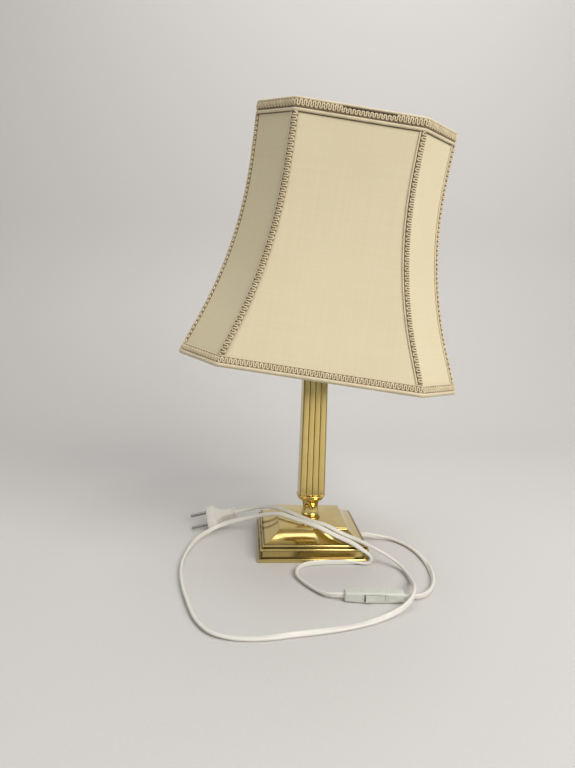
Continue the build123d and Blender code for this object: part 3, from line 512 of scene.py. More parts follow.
def plain_metal(name, colour, roughness, grain=700.0, worn=0.2):
    """Bare metal with a fine grain."""
    made, tree, shader = new_material(name)
    cloud = noise(tree, scale=grain, detail=3)
    feed(
        shader,
        Base_Color=two_colours(cloud, darker(colour, worn), colour),
        Metallic=1.0,
        Roughness=spread(cloud, CLOUD_LOW, CLOUD_HIGH, roughness * 0.8, roughness * 1.25),
        Normal=bump(cloud, distance=0.00005, strength=0.3),
    )
    return made


def plastic_material(name, colour, roughness, worn=0.06):
    """Moulded plastic, faintly mottled and handled."""
    made, tree, shader = new_material(name)
    mottled = noise(tree, scale=90, detail=4)
    handled = noise(tree, scale=260, detail=3)
    grain = noise(tree, scale=2600, detail=2)
    feed(
        shader,
        Base_Color=two_colours(mottled, darker(colour, worn), colour),
        Roughness=spread(handled, CLOUD_LOW, CLOUD_HIGH, roughness * 0.85, roughness * 1.2),
        Normal=bump(grain, distance=0.00003, strength=0.25),
    )
    return made


def thread_noise(tree, cloth, stretch):
    """Unevenness of threads that run along the cloth's width or length."""
    place = add_node(tree, "Mapping", Vector=cloth, Scale=stretch).outputs[0]
    return add_node(tree, "TexNoise", Vector=place, Scale=1.0, Detail=2.0).outputs["Fac"]


def fabric_material():
    """Plain-woven cream cloth with slubs, by the cloth's own length and width."""
    made, tree, shader = new_material("shade_cloth")
    cloth = add_node(tree, "UVMap").outputs[0]
    threads = []
    for direction in ("X", "Y"):
        bands = {"wave_type": "BANDS", "bands_direction": direction}
        wave = add_node(tree, "TexWave", bands, Vector=cloth, Scale=520.0, Distortion=0.6, Detail=1.0)
        threads.append(wave.outputs["Fac"])
    weave = arithmetic("MAXIMUM", *threads)
    slubs = thread_noise(tree, cloth, stretch=(14, 420, 1))
    warps = thread_noise(tree, cloth, stretch=(360, 10, 1))
    uneven = arithmetic("MULTIPLY", arithmetic("ADD", slubs, warps), 0.5)
    age = arithmetic("MULTIPLY", noise(tree, scale=14, detail=3), 0.6)
    tone = spread(arithmetic("ADD", uneven, age), low=0.5, high=1.1)
    feed(
        shader,
        Base_Color=two_colours(tone, (0.65, 0.575, 0.385), (0.70, 0.625, 0.435)),
        Roughness=0.75,
        Sheen_Weight=0.15,
        Sheen_Roughness=0.4,
        Normal=bump(arithmetic("ADD", weave, uneven), distance=0.00004, strength=0.12),
    )
    return made


def braid_material(name, light, dark):
    """Silky wound cord: fine windings across the cord and a little unevenness."""
    made, tree, shader = new_material(name)
    fine = noise(tree, scale=2200, detail=2)
    cloud = noise(tree, scale=120, detail=3)
    tone = spread(arithmetic("ADD", fine, cloud), low=0.7, high=1.3)
    feed(
        shader,
        Base_Color=two_colours(tone, dark, light),
        Roughness=0.55,
        Sheen_Weight=0.25,
        Normal=bump(fine, distance=0.0002, strength=0.6),
    )
    return made


BRASS = brass_material()
CONTACT_BRASS = plain_metal("contact_brass", (0.74, 0.58, 0.28), 0.3)
STEEL = plain_metal("zinc_steel", (0.62, 0.62, 0.63), 0.32)
IRON = plain_metal("cast_iron", (0.14, 0.14, 0.15), 0.6, grain=300.0)
ALUMINIUM = plain_metal("bulb_aluminium", (0.76, 0.76, 0.77), 0.28)
PIN_METAL = plain_metal("pin_metal", (0.42, 0.39, 0.35), 0.3)
WHITE_PLASTIC = plastic_material("white_plastic", (0.74, 0.72, 0.66), 0.32)
SWITCH_PLASTIC = plastic_material("switch_plastic", (0.63, 0.645, 0.585), 0.3)
FLEX_PLASTIC = plastic_material("flex_sheath", (0.80, 0.78, 0.72), 0.38)
PORCELAIN = plastic_material("porcelain", (0.84, 0.83, 0.79), 0.15)
DARK_GLASS = plastic_material("black_insulator", (0.03, 0.03, 0.035), 0.2)
OPAL_GLASS = plastic_material("opal_glass", (0.86, 0.85, 0.81), 0.12, worn=0.02)
COATED_WIRE = plastic_material("coated_wire", (0.76, 0.72, 0.62), 0.4)
CLOTH = fabric_material()
LINING = plastic_material("shade_lining", (0.76, 0.73, 0.66), 0.6)
BRAID_LIGHT = braid_material("braid_light", (0.76, 0.66, 0.46), (0.58, 0.47, 0.29))
BRAID_TAN = braid_material("braid_tan", (0.30, 0.22, 0.12), (0.18, 0.13, 0.065))
# Dark cords, also used for the painted shadow line under the top piping
DARK_CORD_AND_SHADOW = braid_material("dark_cord_and_shadow", (0.15, 0.10, 0.05), (0.08, 0.055, 0.025))
SLIT_DARK = braid_material("slit_dark", (0.10, 0.05, 0.025), (0.05, 0.025, 0.012))
PIPING = braid_material("piping_cloth", (0.72, 0.63, 0.44), (0.60, 0.51, 0.34))
FELT = braid_material("pressed_felt", (0.06, 0.11, 0.07), (0.03, 0.06, 0.04))


def dress(piece, finish):
    piece.data.materials.clear()
    piece.data.materials.append(finish)


def place_piece(piece, finish, body, slot, *replaced):
    """Gives a new piece its material and body, and hides the CAD nodes it stands for; the slot is not used.
    """
    dress(piece, finish)
    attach(piece, body)
    if replaced:
        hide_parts(*replaced)


def paint_shadow(piece, amounts):
    """Gives each point of a brass piece its share of painted shadow."""
    layer = piece.data.attributes.new(PAINTED_SHADOW, "FLOAT", "POINT")
    layer.data.foreach_set("value", amounts)


def joint_shadow(outline, joints, reach=0.5):
    """Painted shadow along an outline, strongest at the heights where two mouldings meet."""
    amounts = []
    for _, height in outline:
        nearest = min(abs(height - joint) for joint in joints)
        amounts.append(JOINT_SHADOW * max(0.0, 1 - nearest / reach))
    return amounts


# CAD nodes that show as they are get their materials
NODE_FINISHES = {
    BRASS: ["column_cap", "holder_cap", "holder_body", "shade_ring_lower", "shade_ring_upper"],
    CONTACT_BRASS: ["holder_screw_shell", "holder_contact", "holder_terminals", "switch_contacts"],
    STEEL: ["base_washer", "base_nut", "threaded_tube", "switch_screws", "switch_pivot"],
    IRON: ["base_weight"],
    FELT: ["base_felt"],
    WHITE_PLASTIC: ["cord_grommet"],
    SWITCH_PLASTIC: ["switch_front", "switch_back", "switch_rocker"],
    FLEX_PLASTIC: ["flex_inside"],
    PORCELAIN: ["holder_core"],
    PIN_METAL: ["plug_pins"],
    ALUMINIUM: ["bulb_cap", "bulb_contact"],
    DARK_GLASS: ["bulb_insulator"],
    OPAL_GLASS: ["bulb_glass"],
    COATED_WIRE: ["fitter_ring", "gimbal_ring", "gimbal_arms", "shade_bottom_wire", "shade_top_wire"]
    + [f"shade_rib_{number}" for number in range(1, 9)],
}
for finish, names in NODE_FINISHES.items():
    for name in names:
        dress(nodes[name], finish)


# Brass base: square rings over the stepped and coved outline
base_outline = [(WALL_HALF - SHELL, SHELL_INSIDE_TOP), (WALL_HALF - SHELL, 0.0)]
base_outline += bulge(FLANGE_HALF, 0.0, FLANGE_TOP, FLANGE_ROUND)
base_outline += [(WALL_HALF, FLANGE_TOP), (WALL_HALF, WALL_TOP)]
base_outline += bulge(LOWER_BEAD_HALF, WALL_TOP, BEAD_HEIGHT, BEAD_ROUND)
base_outline += bulge(UPPER_BEAD_HALF, UPPER_BEAD_BOTTOM, BEAD_HEIGHT, BEAD_ROUND)
base_outline += hollow((COVE_HALF, COVE_BOTTOM), (TOP_HALF, COVE_TOP), COVE_SAG)
base_outline += [(TOP_HALF, BASE_HEIGHT), (TOP_HOLE_HALF, BASE_HEIGHT)]
base_outline = softened(base_outline, BASE_SOFTNESS)
base_rings = [rounded_square(half, BASE_CORNER, height) for half, height in base_outline]
base = loft("base_brass", base_rings)
# Painted shadow where the base's mouldings meet
base_joints = joint_shadow(base_outline, (FLANGE_TOP, WALL_TOP, UPPER_BEAD_BOTTOM, COVE_BOTTOM))
paint_shadow(base, [amount for amount in base_joints for _ in base_rings[0]])
place_piece(base, BRASS, "lamp", "brass", "base_shell")

# Turned neck: foot, bead, slender waist and the round bowl under the column
neck_outline = [(TUBE_HOLE, 0.0), (FOOT_RADIUS, 0.0), (FOOT_RADIUS, FOOT_TOP)]
neck_outline += bulge(FOOT_BEAD_RADIUS, FOOT_TOP, FOOT_BEAD_HEIGHT, FOOT_BEAD_BULGE)
neck_outline += reversed(flare(NECK_WAIST, (FOOT_BEAD_RADIUS, FOOT_BEAD_TOP))[:-1])
neck_outline += [NECK_WAIST] + flare(NECK_WAIST, BOWL_FOOT)
neck_outline += hollow(BOWL_FOOT, BOWL_RIM, -BOWL_BULGE)[1:]
neck_outline += bulge(*BOWL_RIM, BOWL_RIM_HEIGHT, BOWL_RIM_BULGE)[1:]
neck_outline += [(TUBE_HOLE, NECK_HEIGHT)]
neck_outline = softened(neck_outline, NECK_SOFTNESS)
neck = lathe("neck_brass", [(radius, BASE_HEIGHT + height) for radius, height in neck_outline])
place_piece(neck, BRASS, "lamp", "brass", "neck")


def reed_profile(pitch):
    """Places across one reed and their share of its height: rounded edge, flat crest, rounded edge."""
    radius = (REED_EDGE**2 + REED_HEIGHT**2) / (2 * REED_HEIGHT)
    lowest = acos(1 - REED_HEIGHT / radius)
    edge = []
    for step in range(REED_EDGE_STEPS + 1):
        angle = lowest * (1 - step / REED_EDGE_STEPS)
        across = REED_EDGE - radius * sin(angle)
        share = 1 - radius * (1 - cos(angle)) / REED_HEIGHT
        edge.append((across, share))
    far_edge = [(pitch - across, share) for across, share in reversed(edge)]
    return edge + far_edge[:-1]


def groove_shadow(pitch):
    """Painted shadow across one reed, fading from the grooves at its edges."""
    return [GROOVE_SHADOW * (1 - share) ** GROOVE_FADE for _, share in reed_profile(pitch)]


def reeded_ring(height, crest):
    """Ring round the column: flat reeds with rounded edges on a square core that narrows upwards."""
    share_up = (height - COLUMN_BOTTOM) / (COLUMN_TOP - COLUMN_BOTTOM)
    core = COLUMN_FOOT_HALF + (COLUMN_HEAD_HALF - COLUMN_FOOT_HALF) * share_up - REED_HEIGHT
    pitch = 2 * core / REEDS_PER_FACE
    ring = []
    for turn in range(4):
        face = about_z(90 * turn)
        for reed in range(REEDS_PER_FACE):
            left = -core + reed * pitch
            for across, share in reed_profile(pitch):
                ring.append(face @ Vector((left + across, -core - crest * share, height)))
    return ring


# Column: the reeds round off towards both ends
reed_ends = []
for step in range(REED_END_STEPS + 1):
    share = step / REED_END_STEPS
    reed_ends.append((REED_END * share, REED_HEIGHT * sqrt(1 - (1 - share) ** 2)))
reed_rings = [reeded_ring(COLUMN_BOTTOM + inset, crest) for inset, crest in reed_ends]
reed_rings += [reeded_ring(COLUMN_TOP - inset, crest) for inset, crest in reversed(reed_ends)]
column = loft("column_brass", reed_rings, capped=True, smooth_angle=50.0)
# Painted shadow in the grooves between the reeds
foot_pitch = 2 * (COLUMN_FOOT_HALF - REED_HEIGHT) / REEDS_PER_FACE
reed_count = 4 * REEDS_PER_FACE * len(reed_rings)
paint_shadow(column, groove_shadow(foot_pitch) * reed_count)
place_piece(column, BRASS, "lamp", "brass", "column")


# Shade: outlines, frame and seams
def half_at(height, outline):
    """Half width of a shade outline at a height: straight flare, long hollow curve, lip turned out."""
    waist_half, flare_angle, lip_angle = outline
    run = WAIST_HEIGHT - FLARE_STRAIGHT
    if height < FLARE_STRAIGHT:
        curved = run * tan(rad(flare_angle / 2))
        straight = (FLARE_STRAIGHT - height) * tan(rad(flare_angle))
        return waist_half + curved + straight
    if height < WAIST_HEIGHT:
        radius = run / sin(rad(flare_angle))
    else:
        radius = (SHADE_HEIGHT - WAIST_HEIGHT) / sin(rad(lip_angle))
    return waist_half + radius - sqrt(radius**2 - (height - WAIST_HEIGHT) ** 2)


def side_half(height):
    return half_at(height, SIDE_OUTLINE)


def corner_half(height):
    return half_at(height, CORNER_OUTLINE)


def seam_half(height):
    """Distance of a seam from the middle of its wide side."""
    return sqrt(2) * corner_half(height) - side_half(height)


def corner_width_half(height):
    """Half the width of a corner panel."""
    return (side_half(height) - seam_half(height)) / sqrt(2)


tilt_axis = Vector((cos(rad(TILT_HEADING)), sin(rad(TILT_HEADING)), 0))
SHADE_PLACE = (
    Matrix.Translation((0, 0, PIVOT_Z))
    @ about_z(SWIVEL)
    @ Matrix.Rotation(rad(TILT), 4, tilt_axis)
    @ Matrix.Translation((0, 0, -PIVOT_HEIGHT))
)


def cloth_panel(name, node, half, width_half, heading, bow):
    """Stretched cloth on one face of the shade, drawn in slightly between its ribs."""
    points = []
    cloth_places = []
    length = 0.0
    before = None
    for row in range(PANEL_ROWS + 1):
        height = SHADE_HEIGHT * row / PANEL_ROWS
        out = half(height) - FABRIC / 2
        wide = width_half(height)
        if before:
            step = hypot(height - before[0], out - before[1])
            length += step
        before = (height, out, wide)
        drawn_in = bow * sin(pi * row / PANEL_ROWS)
        for column in range(PANEL_COLUMNS + 1):
            across = 2 * column / PANEL_COLUMNS - 1
            points.append((out - drawn_in * (1 - across**2), across * wide, height))
            cloth_places.append((across * wide * MM, length * MM))
    faces = []
    for row in range(PANEL_ROWS):
        for column in range(PANEL_COLUMNS):
            here = row * (PANEL_COLUMNS + 1) + column
            above = here + PANEL_COLUMNS + 1
            faces.append((here, here + 1, above + 1, above))
    piece = mesh_object(name, points, faces, SHADE_PLACE @ about_z(heading))
    layer = piece.data.uv_layers.new(name="cloth")
    for loop in piece.data.loops:
        layer.data[loop.index].uv = cloth_places[loop.vertex_index]
    thick = piece.modifiers.new("thickness", "SOLIDIFY")
    thick.thickness = FABRIC * MM
    thick.offset = 0.0
    thick.material_offset = 1
    place_piece(piece, CLOTH, "shade", "shade_fabric", node)
    piece.data.materials.append(LINING)
    widest = 2 * max(width_half(0), width_half(SHADE_HEIGHT))


for turn, side in enumerate(("right", "back", "left", "front")):
    heading = 90 * turn
    cloth_panel(f"cloth_{side}", f"shade_panel_{side}", side_half, seam_half, heading, SIDE_BOW)
for turn, corner in enumerate(("back_right", "back_left", "front_left", "front_right")):
    heading = 90 * turn + 45
    node = f"shade_corner_{corner}"
    cloth_panel(f"cloth_{corner}", node, corner_half, corner_width_half, heading, CORNER_BOW)


# Braids: serpentine cords laid on the cloth over flat ribbons, with straight cords beside them
def cord_curve(name, lines, finish, radius, closed=False, stands_for=()):
    """One piece with a round cord along each line of points, in the shade's frame."""
    piece = new_curve(name, "POLY", [[SHADE_PLACE @ point for point in line] for line in lines])
    piece.data.bevel_depth = radius * MM
    piece.data.bevel_resolution = 1
    piece.data.use_fill_caps = True
    for spline in piece.data.splines:
        spline.use_cyclic_u = closed
        spline.use_smooth = True
    place_piece(piece, finish, "shade", "braid", *stands_for)


def serpentine(phase, reach):
    """Offsets along and across a braid, and out from the cloth, at a phase of its serpentine cord."""
    along = -LOOP_LEAN * sin(2 * phase)
    across = reach * sin(phase)
    lift = LOOP_LIFT + LOOP_WAVE * cos(2 * phase)
    return along, across, lift


def slope(half, height, step=0.5):
    """How fast a half width grows with height."""
    return (half(height + step) - half(height - step)) / (2 * step)


def seam_spot(height, across, out, turn, mirrored):
    """Point near a seam: along it by height, across it by a signed distance, and out from the cloth."""
    seam = Vector((seam_half(height), side_half(height), height))
    side_normal = Vector((0, 1, -slope(side_half, height))).normalized()
    corner_normal = Vector((1, 1, -slope(corner_half, height) * sqrt(2))).normalized()
    towards_corner = Vector((1, -1, 0)).normalized()
    fold = min(1.0, max(0.0, (across + SEAM_FOLD) / (2 * SEAM_FOLD)))
    normal = side_normal.lerp(corner_normal, eased(fold)).normalized()
    spot = seam + normal * out
    spot += towards_corner * across if across > 0 else Vector((across, 0, 0))
    if mirrored:
        spot = Vector((spot.y, spot.x, spot.z))
    return about_z(90 * turn) @ spot


# The eight seams: quarter turn round the shade, and which side of the corner panel
SEAMS = [(turn, mirrored) for turn in range(4) for mirrored in (False, True)]


def seam_heights(rows):
    """Heights spread evenly up the seams."""
    return [SEAM_BOTTOM + (SEAM_TOP - SEAM_BOTTOM) * row / rows for row in range(rows + 1)]


def seam_loops(reach):
    """Serpentine lines up all eight seams."""
    pitches = round((SEAM_TOP - SEAM_BOTTOM) / SEAM_PITCH)
    pitch = (SEAM_TOP - SEAM_BOTTOM) / pitches
    lines = []
    for turn, mirrored in SEAMS:
        line = []
        for step in range(pitches * LOOP_STEPS + 1):
            along, across, lift = serpentine(2 * pi * step / LOOP_STEPS, reach)
            height = SEAM_BOTTOM + pitch * step / LOOP_STEPS + along
            line.append(seam_spot(height, across, lift, turn, mirrored))
        lines.append(line)
    return lines


def seam_edges(across, out):
    """Straight lines up all eight seams, on the side that is to the left as seen from outside."""
    lines = []
    for turn, mirrored in SEAMS:
        offset = -across if mirrored else across
        lines.append([seam_spot(height, offset, out, turn, mirrored) for height in seam_heights(rows=80)])
    return lines


def seam_ribbon(name, turn, mirrored):
    """Flat ribbon under the serpentine cord of one seam, folded over the seam."""
    across = [SEAM_RIBBON_HALF * (2 * step / RIBBON_STEPS - 1) for step in range(RIBBON_STEPS + 1)]
    rings = []
    for height in seam_heights(rows=60):
        front = [seam_spot(height, place, RIBBON_FRONT, turn, mirrored) for place in across]
        back = [seam_spot(height, place, RIBBON_BACK, turn, mirrored) for place in reversed(across)]
        rings.append(front + back)
    ribbon = loft(name, rings, SHADE_PLACE, capped=True)
    place_piece(ribbon, BRAID_TAN, "shade", "braid")


seam_cords = seam_loops(reach=2.0)
cord_curve("seam_scroll", seam_cords, BRAID_LIGHT, radius=0.72, stands_for=["shade_seam_braids"])
cord_curve("seam_piping", seam_edges(across=4.0, out=0.35), PIPING, radius=0.85)
cord_curve("seam_line", seam_edges(across=2.9, out=0.45), DARK_CORD_AND_SHADOW, radius=0.35)
for turn, mirrored in SEAMS:
    side = "b" if mirrored else "a"
    seam_ribbon(f"seam_ribbon_{turn}{side}", turn, mirrored)


def rim_path(height):
    """Points round the shade at a height, with its corners rounded."""
    side = side_half(height)
    seam = seam_half(height)
    corners = []
    for turn in range(4):
        face = about_z(90 * turn)
        corners.append(face @ Vector((side, -seam, height)))
        corners.append(face @ Vector((side, seam, height)))
    cut = RIM_CORNER * tan(rad(45 / 2))
    path = []
    for before, corner, after in zip([corners[-1]] + corners, corners, corners[1:] + [corners[0]]):
        first = corner + (before - corner).normalized() * cut
        last = corner + (after - corner).normalized() * cut
        path += corner_arc(first, corner, last, steps=4)
        following = after + (corner - after).normalized() * cut
        count = max(2, round((following - last).length / RIM_STEP))
        path += [last.lerp(following, step / count) for step in range(1, count)]
    return path


class Rim:
    """Band round the shade: places by length round it, height on the cloth and distance out from it."""

    def __init__(self, height):
        self.height = height
        self.path = rim_path(height)
        self.marks = lengths_along(self.path + self.path[:1])
        self.length = self.marks[-1]
        self.slope_side = slope(side_half, height)
        self.index = 0

    def spot(self, along, up, out):
        """Point at a length round the rim, moved up along the cloth and out from it."""
        along %= self.length
        if self.marks[self.index] > along:
            self.index = 0
        while self.marks[self.index + 1] < along:
            self.index += 1
        here = self.path[self.index]
        there = self.path[(self.index + 1) % len(self.path)]
        start = self.marks[self.index]
        share = (along - start) / (self.marks[self.index + 1] - start)
        direction = (there - here).normalized()
        level_out = Vector((direction.y, -direction.x, 0))
        upward = Vector((0, 0, 1)) + level_out * self.slope_side
        normal = level_out - Vector((0, 0, 1)) * self.slope_side
        return here.lerp(there, share) + upward.normalized() * up + normal.normalized() * out


def slip_share(rim, along, front_share=0.99):
    """How far the loops have slipped at a place round the rim, from 0 to 1: on the front alone."""
    spot = rim.spot(along, 0.0, 0.0)
    if spot.y > -front_share * side_half(rim.height):
        return 0.0
    across = spot.x / seam_half(rim.height)
    return min(1.0, max(0.0, min(across - SLIP_FROM, SLIP_TO - across) / SLIP_EASE))


def places_round(rim, spacing):
    """Places spread evenly round a rim."""
    count = round(rim.length / spacing)
    return [rim.length * step / count for step in range(count)]


def slip_line(rim, up, out, least_slip=0.3):
    """Line along the stretch where the loops have slipped."""
    places = [place for place in places_round(rim, spacing=2.0) if slip_share(rim, place) > least_slip]
    return [rim.spot(place, up, out) for place in places]


def rim_loops(rim, reach, centre, slipping=False):
    """Serpentine line round a rim, pressed down where it has slipped."""
    pitches = round(rim.length / RIM_PITCH)
    pitch = rim.length / pitches
    line = []
    for step in range(pitches * LOOP_STEPS):
        place = pitch * step / LOOP_STEPS
        slip = slip_share(rim, place) if slipping else 0.0
        phase = 2 * pi * step / LOOP_STEPS
        along, across, lift = serpentine(phase, reach - SLIP_SQUEEZE * slip)
        line.append(rim.spot(place + along, centre - SLIP_DROP * slip + across, lift))
    return line


def rim_line(rim, up, out):
    """Straight line round a rim."""
    return [rim.spot(place, up, out) for place in places_round(rim, spacing=3.0)]


def rim_ribbon(name, rim, low, high):
    """Flat ribbon round the shade between two heights on the cloth."""
    corners = ((low, RIBBON_BACK), (high, RIBBON_BACK), (high, RIBBON_FRONT), (low, RIBBON_FRONT))
    rings = []
    for place in places_round(rim, spacing=2.0):
        rings.append([rim.spot(place, up, out) for up, out in corners])
    ribbon = loft(name, rings, SHADE_PLACE, closed=True)
    place_piece(ribbon, BRAID_TAN, "shade", "braid")


def rim_cord(name, lines, finish, radius, stands_for=()):
    cord_curve(name, lines, finish, radius, closed=True, stands_for=stands_for)


# Top trim, from its upper edge down: rolled edge, dark slit, loops, dark line, piping, painted shadow line
top = Rim(SHADE_HEIGHT - TOP_TRIM_DROP)
rim_ribbon("top_ribbon", top, low=-2.4, high=5.0)
top_loops = rim_loops(top, reach=2.3, centre=1.3, slipping=True)
rim_cord("top_scroll", [top_loops], BRAID_LIGHT, radius=0.7, stands_for=["shade_top_braid"])
rim_cord("top_rolled_edge", [rim_line(top, up=5.0, out=0.3)], PIPING, radius=1.1)
rim_cord("top_piping", [rim_line(top, up=-4.5, out=0.5)], PIPING, radius=1.5)
# The upper dark line lies between the loops and the piping; the lower one, on the cloth under the piping,
# is painted shadow
dark_and_shadow_lines = [rim_line(top, up=-2.6, out=0.5), rim_line(top, up=-6.3, out=0.1)]
rim_cord("top_dark_and_shadow_lines", dark_and_shadow_lines, DARK_CORD_AND_SHADOW, radius=0.42)
# Dark reddish line along the slit above the slipped loops
cord_curve("top_slit", [slip_line(top, up=3.3, out=0.75)], SLIT_DARK, radius=0.75)

# Bottom trim, from its lower edge up: smooth piping, loops, thin pale edge
bottom = Rim(BOTTOM_TRIM_RISE)
rim_ribbon("bottom_ribbon", bottom, low=-1.4, high=4.6)
bottom_loops = rim_loops(bottom, reach=2.0, centre=1.3)
rim_cord("bottom_scroll", [bottom_loops], BRAID_LIGHT, radius=0.74, stands_for=["shade_bottom_braid"])
rim_cord("bottom_piping", [rim_line(bottom, up=-3.1, out=0.5)], PIPING, radius=1.75)
rim_cord("bottom_edge", [rim_line(bottom, up=4.7, out=0.4)], PIPING, radius=0.7)


# Plug: the moulded body with its hollow shoulders and strain relief in one piece
def plug_place():
    """Frame of the plug's face: +Z along the pins, X across them."""
    heading = rad(PLUG_HEADING)
    dip = rad(PLUG_DIP)
    flat = cos(dip)
    ahead = Vector((cos(heading) * flat, sin(heading) * flat, -sin(dip)))
    level = Vector((sin(heading), -cos(heading), 0))
    across, _ = rolled(level, level.cross(ahead), PLUG_ROLL)
    axes = Matrix((across, ahead.cross(across), ahead)).transposed()
    return Matrix.Translation(PLUG_AT) @ axes.to_4x4()


def box_sides(half_width, half_thickness):
    """Four straight sides, each with its facing angle and its distance."""
    return [(0, half_width), (180, half_width), (90, half_thickness), (270, half_thickness)]


def soft_polygon(sides, inset, depth, sharpness, steps=96):
    """Ring behind the plug's face, inside straight sides, with its corners rounded."""
    ring = []
    for step in range(steps):
        angle = 2 * pi * step / steps
        total = 0.0
        for facing, distance in sides:
            total += max(0.0, cos(angle - rad(facing)) / (distance - inset)) ** sharpness
        radius = total ** (-1 / sharpness)
        ring.append((radius * cos(angle), radius * sin(angle), -depth))
    return ring


def panelled(ring):
    """Relief ring with a shallow panel sunk in each broad side."""
    return [(x, y * PANEL_SHARE if abs(x) < PANEL_HALF else y, z) for x, y, z in ring]


plug_sides = box_sides(PLUG_HALF_WIDTH, PLUG_HALF_THICKNESS)
for facing in (PLUG_SLANT, 180 - PLUG_SLANT, 180 + PLUG_SLANT, 360 - PLUG_SLANT):
    plug_sides.append((facing, PLUG_SLANT_DISTANCE))
plug_rings = [soft_polygon(plug_sides, inset, depth, PLUG_SHARPNESS) for depth, inset in PLUG_BODY]
for half_width, half_thickness, depth in PLUG_TAIL:
    ring = soft_polygon(box_sides(half_width, half_thickness), 0.0, depth, TAIL_SHARPNESS)
    plug_rings.append(panelled(ring) if PANEL_START < depth < PANEL_END else ring)
plug = loft("plug_moulding", plug_rings, plug_place(), capped=True, smooth_angle=35.0)
place_piece(plug, WHITE_PLASTIC, "lamp", "white_plastic", "plug_body", "plug_relief")


# Flex: two flat stretches, each along its own route
def switch_spot(along):
    """Point on the switch's long axis."""
    heading = rad(SWITCH_HEADING)
    return tuple(Vector(SWITCH_AT) + Vector((cos(heading), sin(heading), 0)) * along)


def plug_spot(behind):
    """Point on the plug's axis, behind its face."""
    return tuple(plug_place() @ Vector((0, 0, -behind)))


# Where the flex leaves the base, and the points that its stretches follow
EXIT = (60.0, 0.0, 7.5)
BASE_TO_SWITCH = [
    EXIT,
    (68, 0, 7.5),
    (80.5, 0.2, 4.8),
    (93.5, 1.0, EDGE_LIE),
    (105, -9.3, NEAR_FLAT_LIE),
    (113.4, -27.2, NEAR_FLAT_LIE),
    (117.7, -51, NEAR_FLAT_LIE),
    (117, -77, LEANING_LIE),
    (112.8, -101, EDGE_LIE),
    (105.6, -120.6, EDGE_LIE),
    (96.4, -132.6, EDGE_LIE),
    (86.3, -139.3, 3.4),
    switch_spot(SWITCH_HALF + SWITCH_STRAIGHT),
    switch_spot(SWITCH_HALF),
]
SWITCH_TO_PLUG = [
    switch_spot(-SWITCH_HALF),
    switch_spot(-SWITCH_HALF - SWITCH_STRAIGHT),
    (1.5, -134.2, 3.4),
    (-6, -124.2, LEANING_LIE),
    (-14, -111.5, LEANING_LIE),
    (-20.8, -98.5, LEANING_LIE),
    (-22.9, -87, EDGE_LIE),
    (-18.6, -74.8, EDGE_LIE),
    (-9, -66.2, EDGE_LIE),
    (8, -63.6, EDGE_LIE),
    (27, -63.2, EDGE_LIE),
    (44, -63.6, LEANING_LIE),
    (55.2, -64.2, FLAT_LIE),
    (59, -64.2, 6.6),
    (55.4, -64.2, 12),
    (47.8, -62.8, 16.3),
    (39.5, -57.2, 20.9),
    (28, -50, 23.4),
    (16, -46.2, 28),
    (4, -41, 32.9),
    (-8.5, -30.5, 33.3),
    (-22, -16.5, 33.2),
    (-35, -4.5, 34),
    (-49, 8.5, 28.5),
    (-65, 19, 21.5),
    (-83, 24, 15.2),
    (-101, 25.5, 9.6),
    (-116, 17.5, 4.6),
    (-127.5, 0.5, EDGE_LIE),
    (-132.8, -22, EDGE_LIE),
    (-137.1, -46, EDGE_LIE),
    (-137.9, -72, EDGE_LIE),
    (-134.8, -100, EDGE_LIE),
    (-128.8, -127, EDGE_LIE),
    (-121.5, -153, EDGE_LIE),
    (-113, -178, LEANING_LIE),
    (-99, -196.5, LEANING_LIE),
    (-79, -202, FLAT_LIE),
    (-58, -202.5, FLAT_LIE),
    (-34, -198, LEANING_LIE),
    (-8, -193.8, LEANING_LIE),
    (18, -186.5, FLAT_LIE),
    (41, -177, LEANING_LIE),
    (60, -166, 3.6),
    (72, -157.5, 7.2),
    (79.9, -147.5, 10.4),
    (83.7, -134, 10.3),
    (86.6, -119.5, 6.6),
    (89.2, -103.5, EDGE_LIE),
    (89.2, -87.5, EDGE_LIE),
    (86.3, -74.5, 4.4),
    (76.5, -67.2, 10.2),
    (62, -65.5, 18.2),
    (48.5, -56, 22.2),
    (35, -46.8, 24.4),
    (24.5, -42.6, 28.4),
    (13, -37.6, 33.2),
    (-1.5, -25.5, 33),
    (-14, -11, 33.1),
    (-25.5, 5, 33.1),
    (-36.5, 17.5, 33.4),
    (-47.5, 29.5, 30.5),
    (-58, 38.5, 26.3),
    (-68.5, 43.5, 22.3),
    plug_spot(PLUG_LENGTH + PLUG_STRAIGHT),
    plug_spot(PLUG_LENGTH),
]

# Roll of the flex at points of each route, in degrees from lying flat
LEAD_ROLLS = {0: 95, 1: 95, 3: 55, 4: 15, 6: 5, 7: -50, 8: -65, 10: -85, 11: -75, 13: -30}
SMALL_LOOP_ROLLS = {0: 90, 1: 95, 2: 130, 3: 142, 4: 142, 5: 132, 6: 100, 7: 78, 8: 85, 10: 90}
FOLD_ROLLS = {12: 0, 14: 0, 16: 35, 23: 35}
LARGE_LOOP_ROLLS = {27: 60, 28: 72, 30: 112, 31: 100, 32: 87, 33: 73, 35: 55, 36: 30, 37: 5, 38: 0}
FRONT_ROLLS = {39: -45, 41: 0, 42: -30, 43: -68, 44: -84, 46: -90, 48: -88}
PLUG_RUN_ROLLS = {50: -45, 51: -25, 52: -15, 54: 25, 61: 30, 65: PLUG_ROLL}
TAIL_ROLLS = SMALL_LOOP_ROLLS | FOLD_ROLLS | LARGE_LOOP_ROLLS | FRONT_ROLLS | PLUG_RUN_ROLLS


def smooth_line(name, route):
    """Points along the smooth spline that has the route's points as its control points, in metres."""
    carrier = new_curve(name + "_route", "NURBS", [route])
    curve = carrier.data
    spline = curve.splines[0]
    spline.resolution_u = 8
    spline.order_u = 3
    spline.use_endpoint_u = True
    bpy.context.view_layer.update()
    mesh = bpy.data.meshes.new_from_object(carrier)
    line = [vertex.co.copy() for vertex in mesh.vertices]
    bpy.data.objects.remove(carrier)
    bpy.data.meshes.remove(mesh)
    bpy.data.curves.remove(curve)
    return line


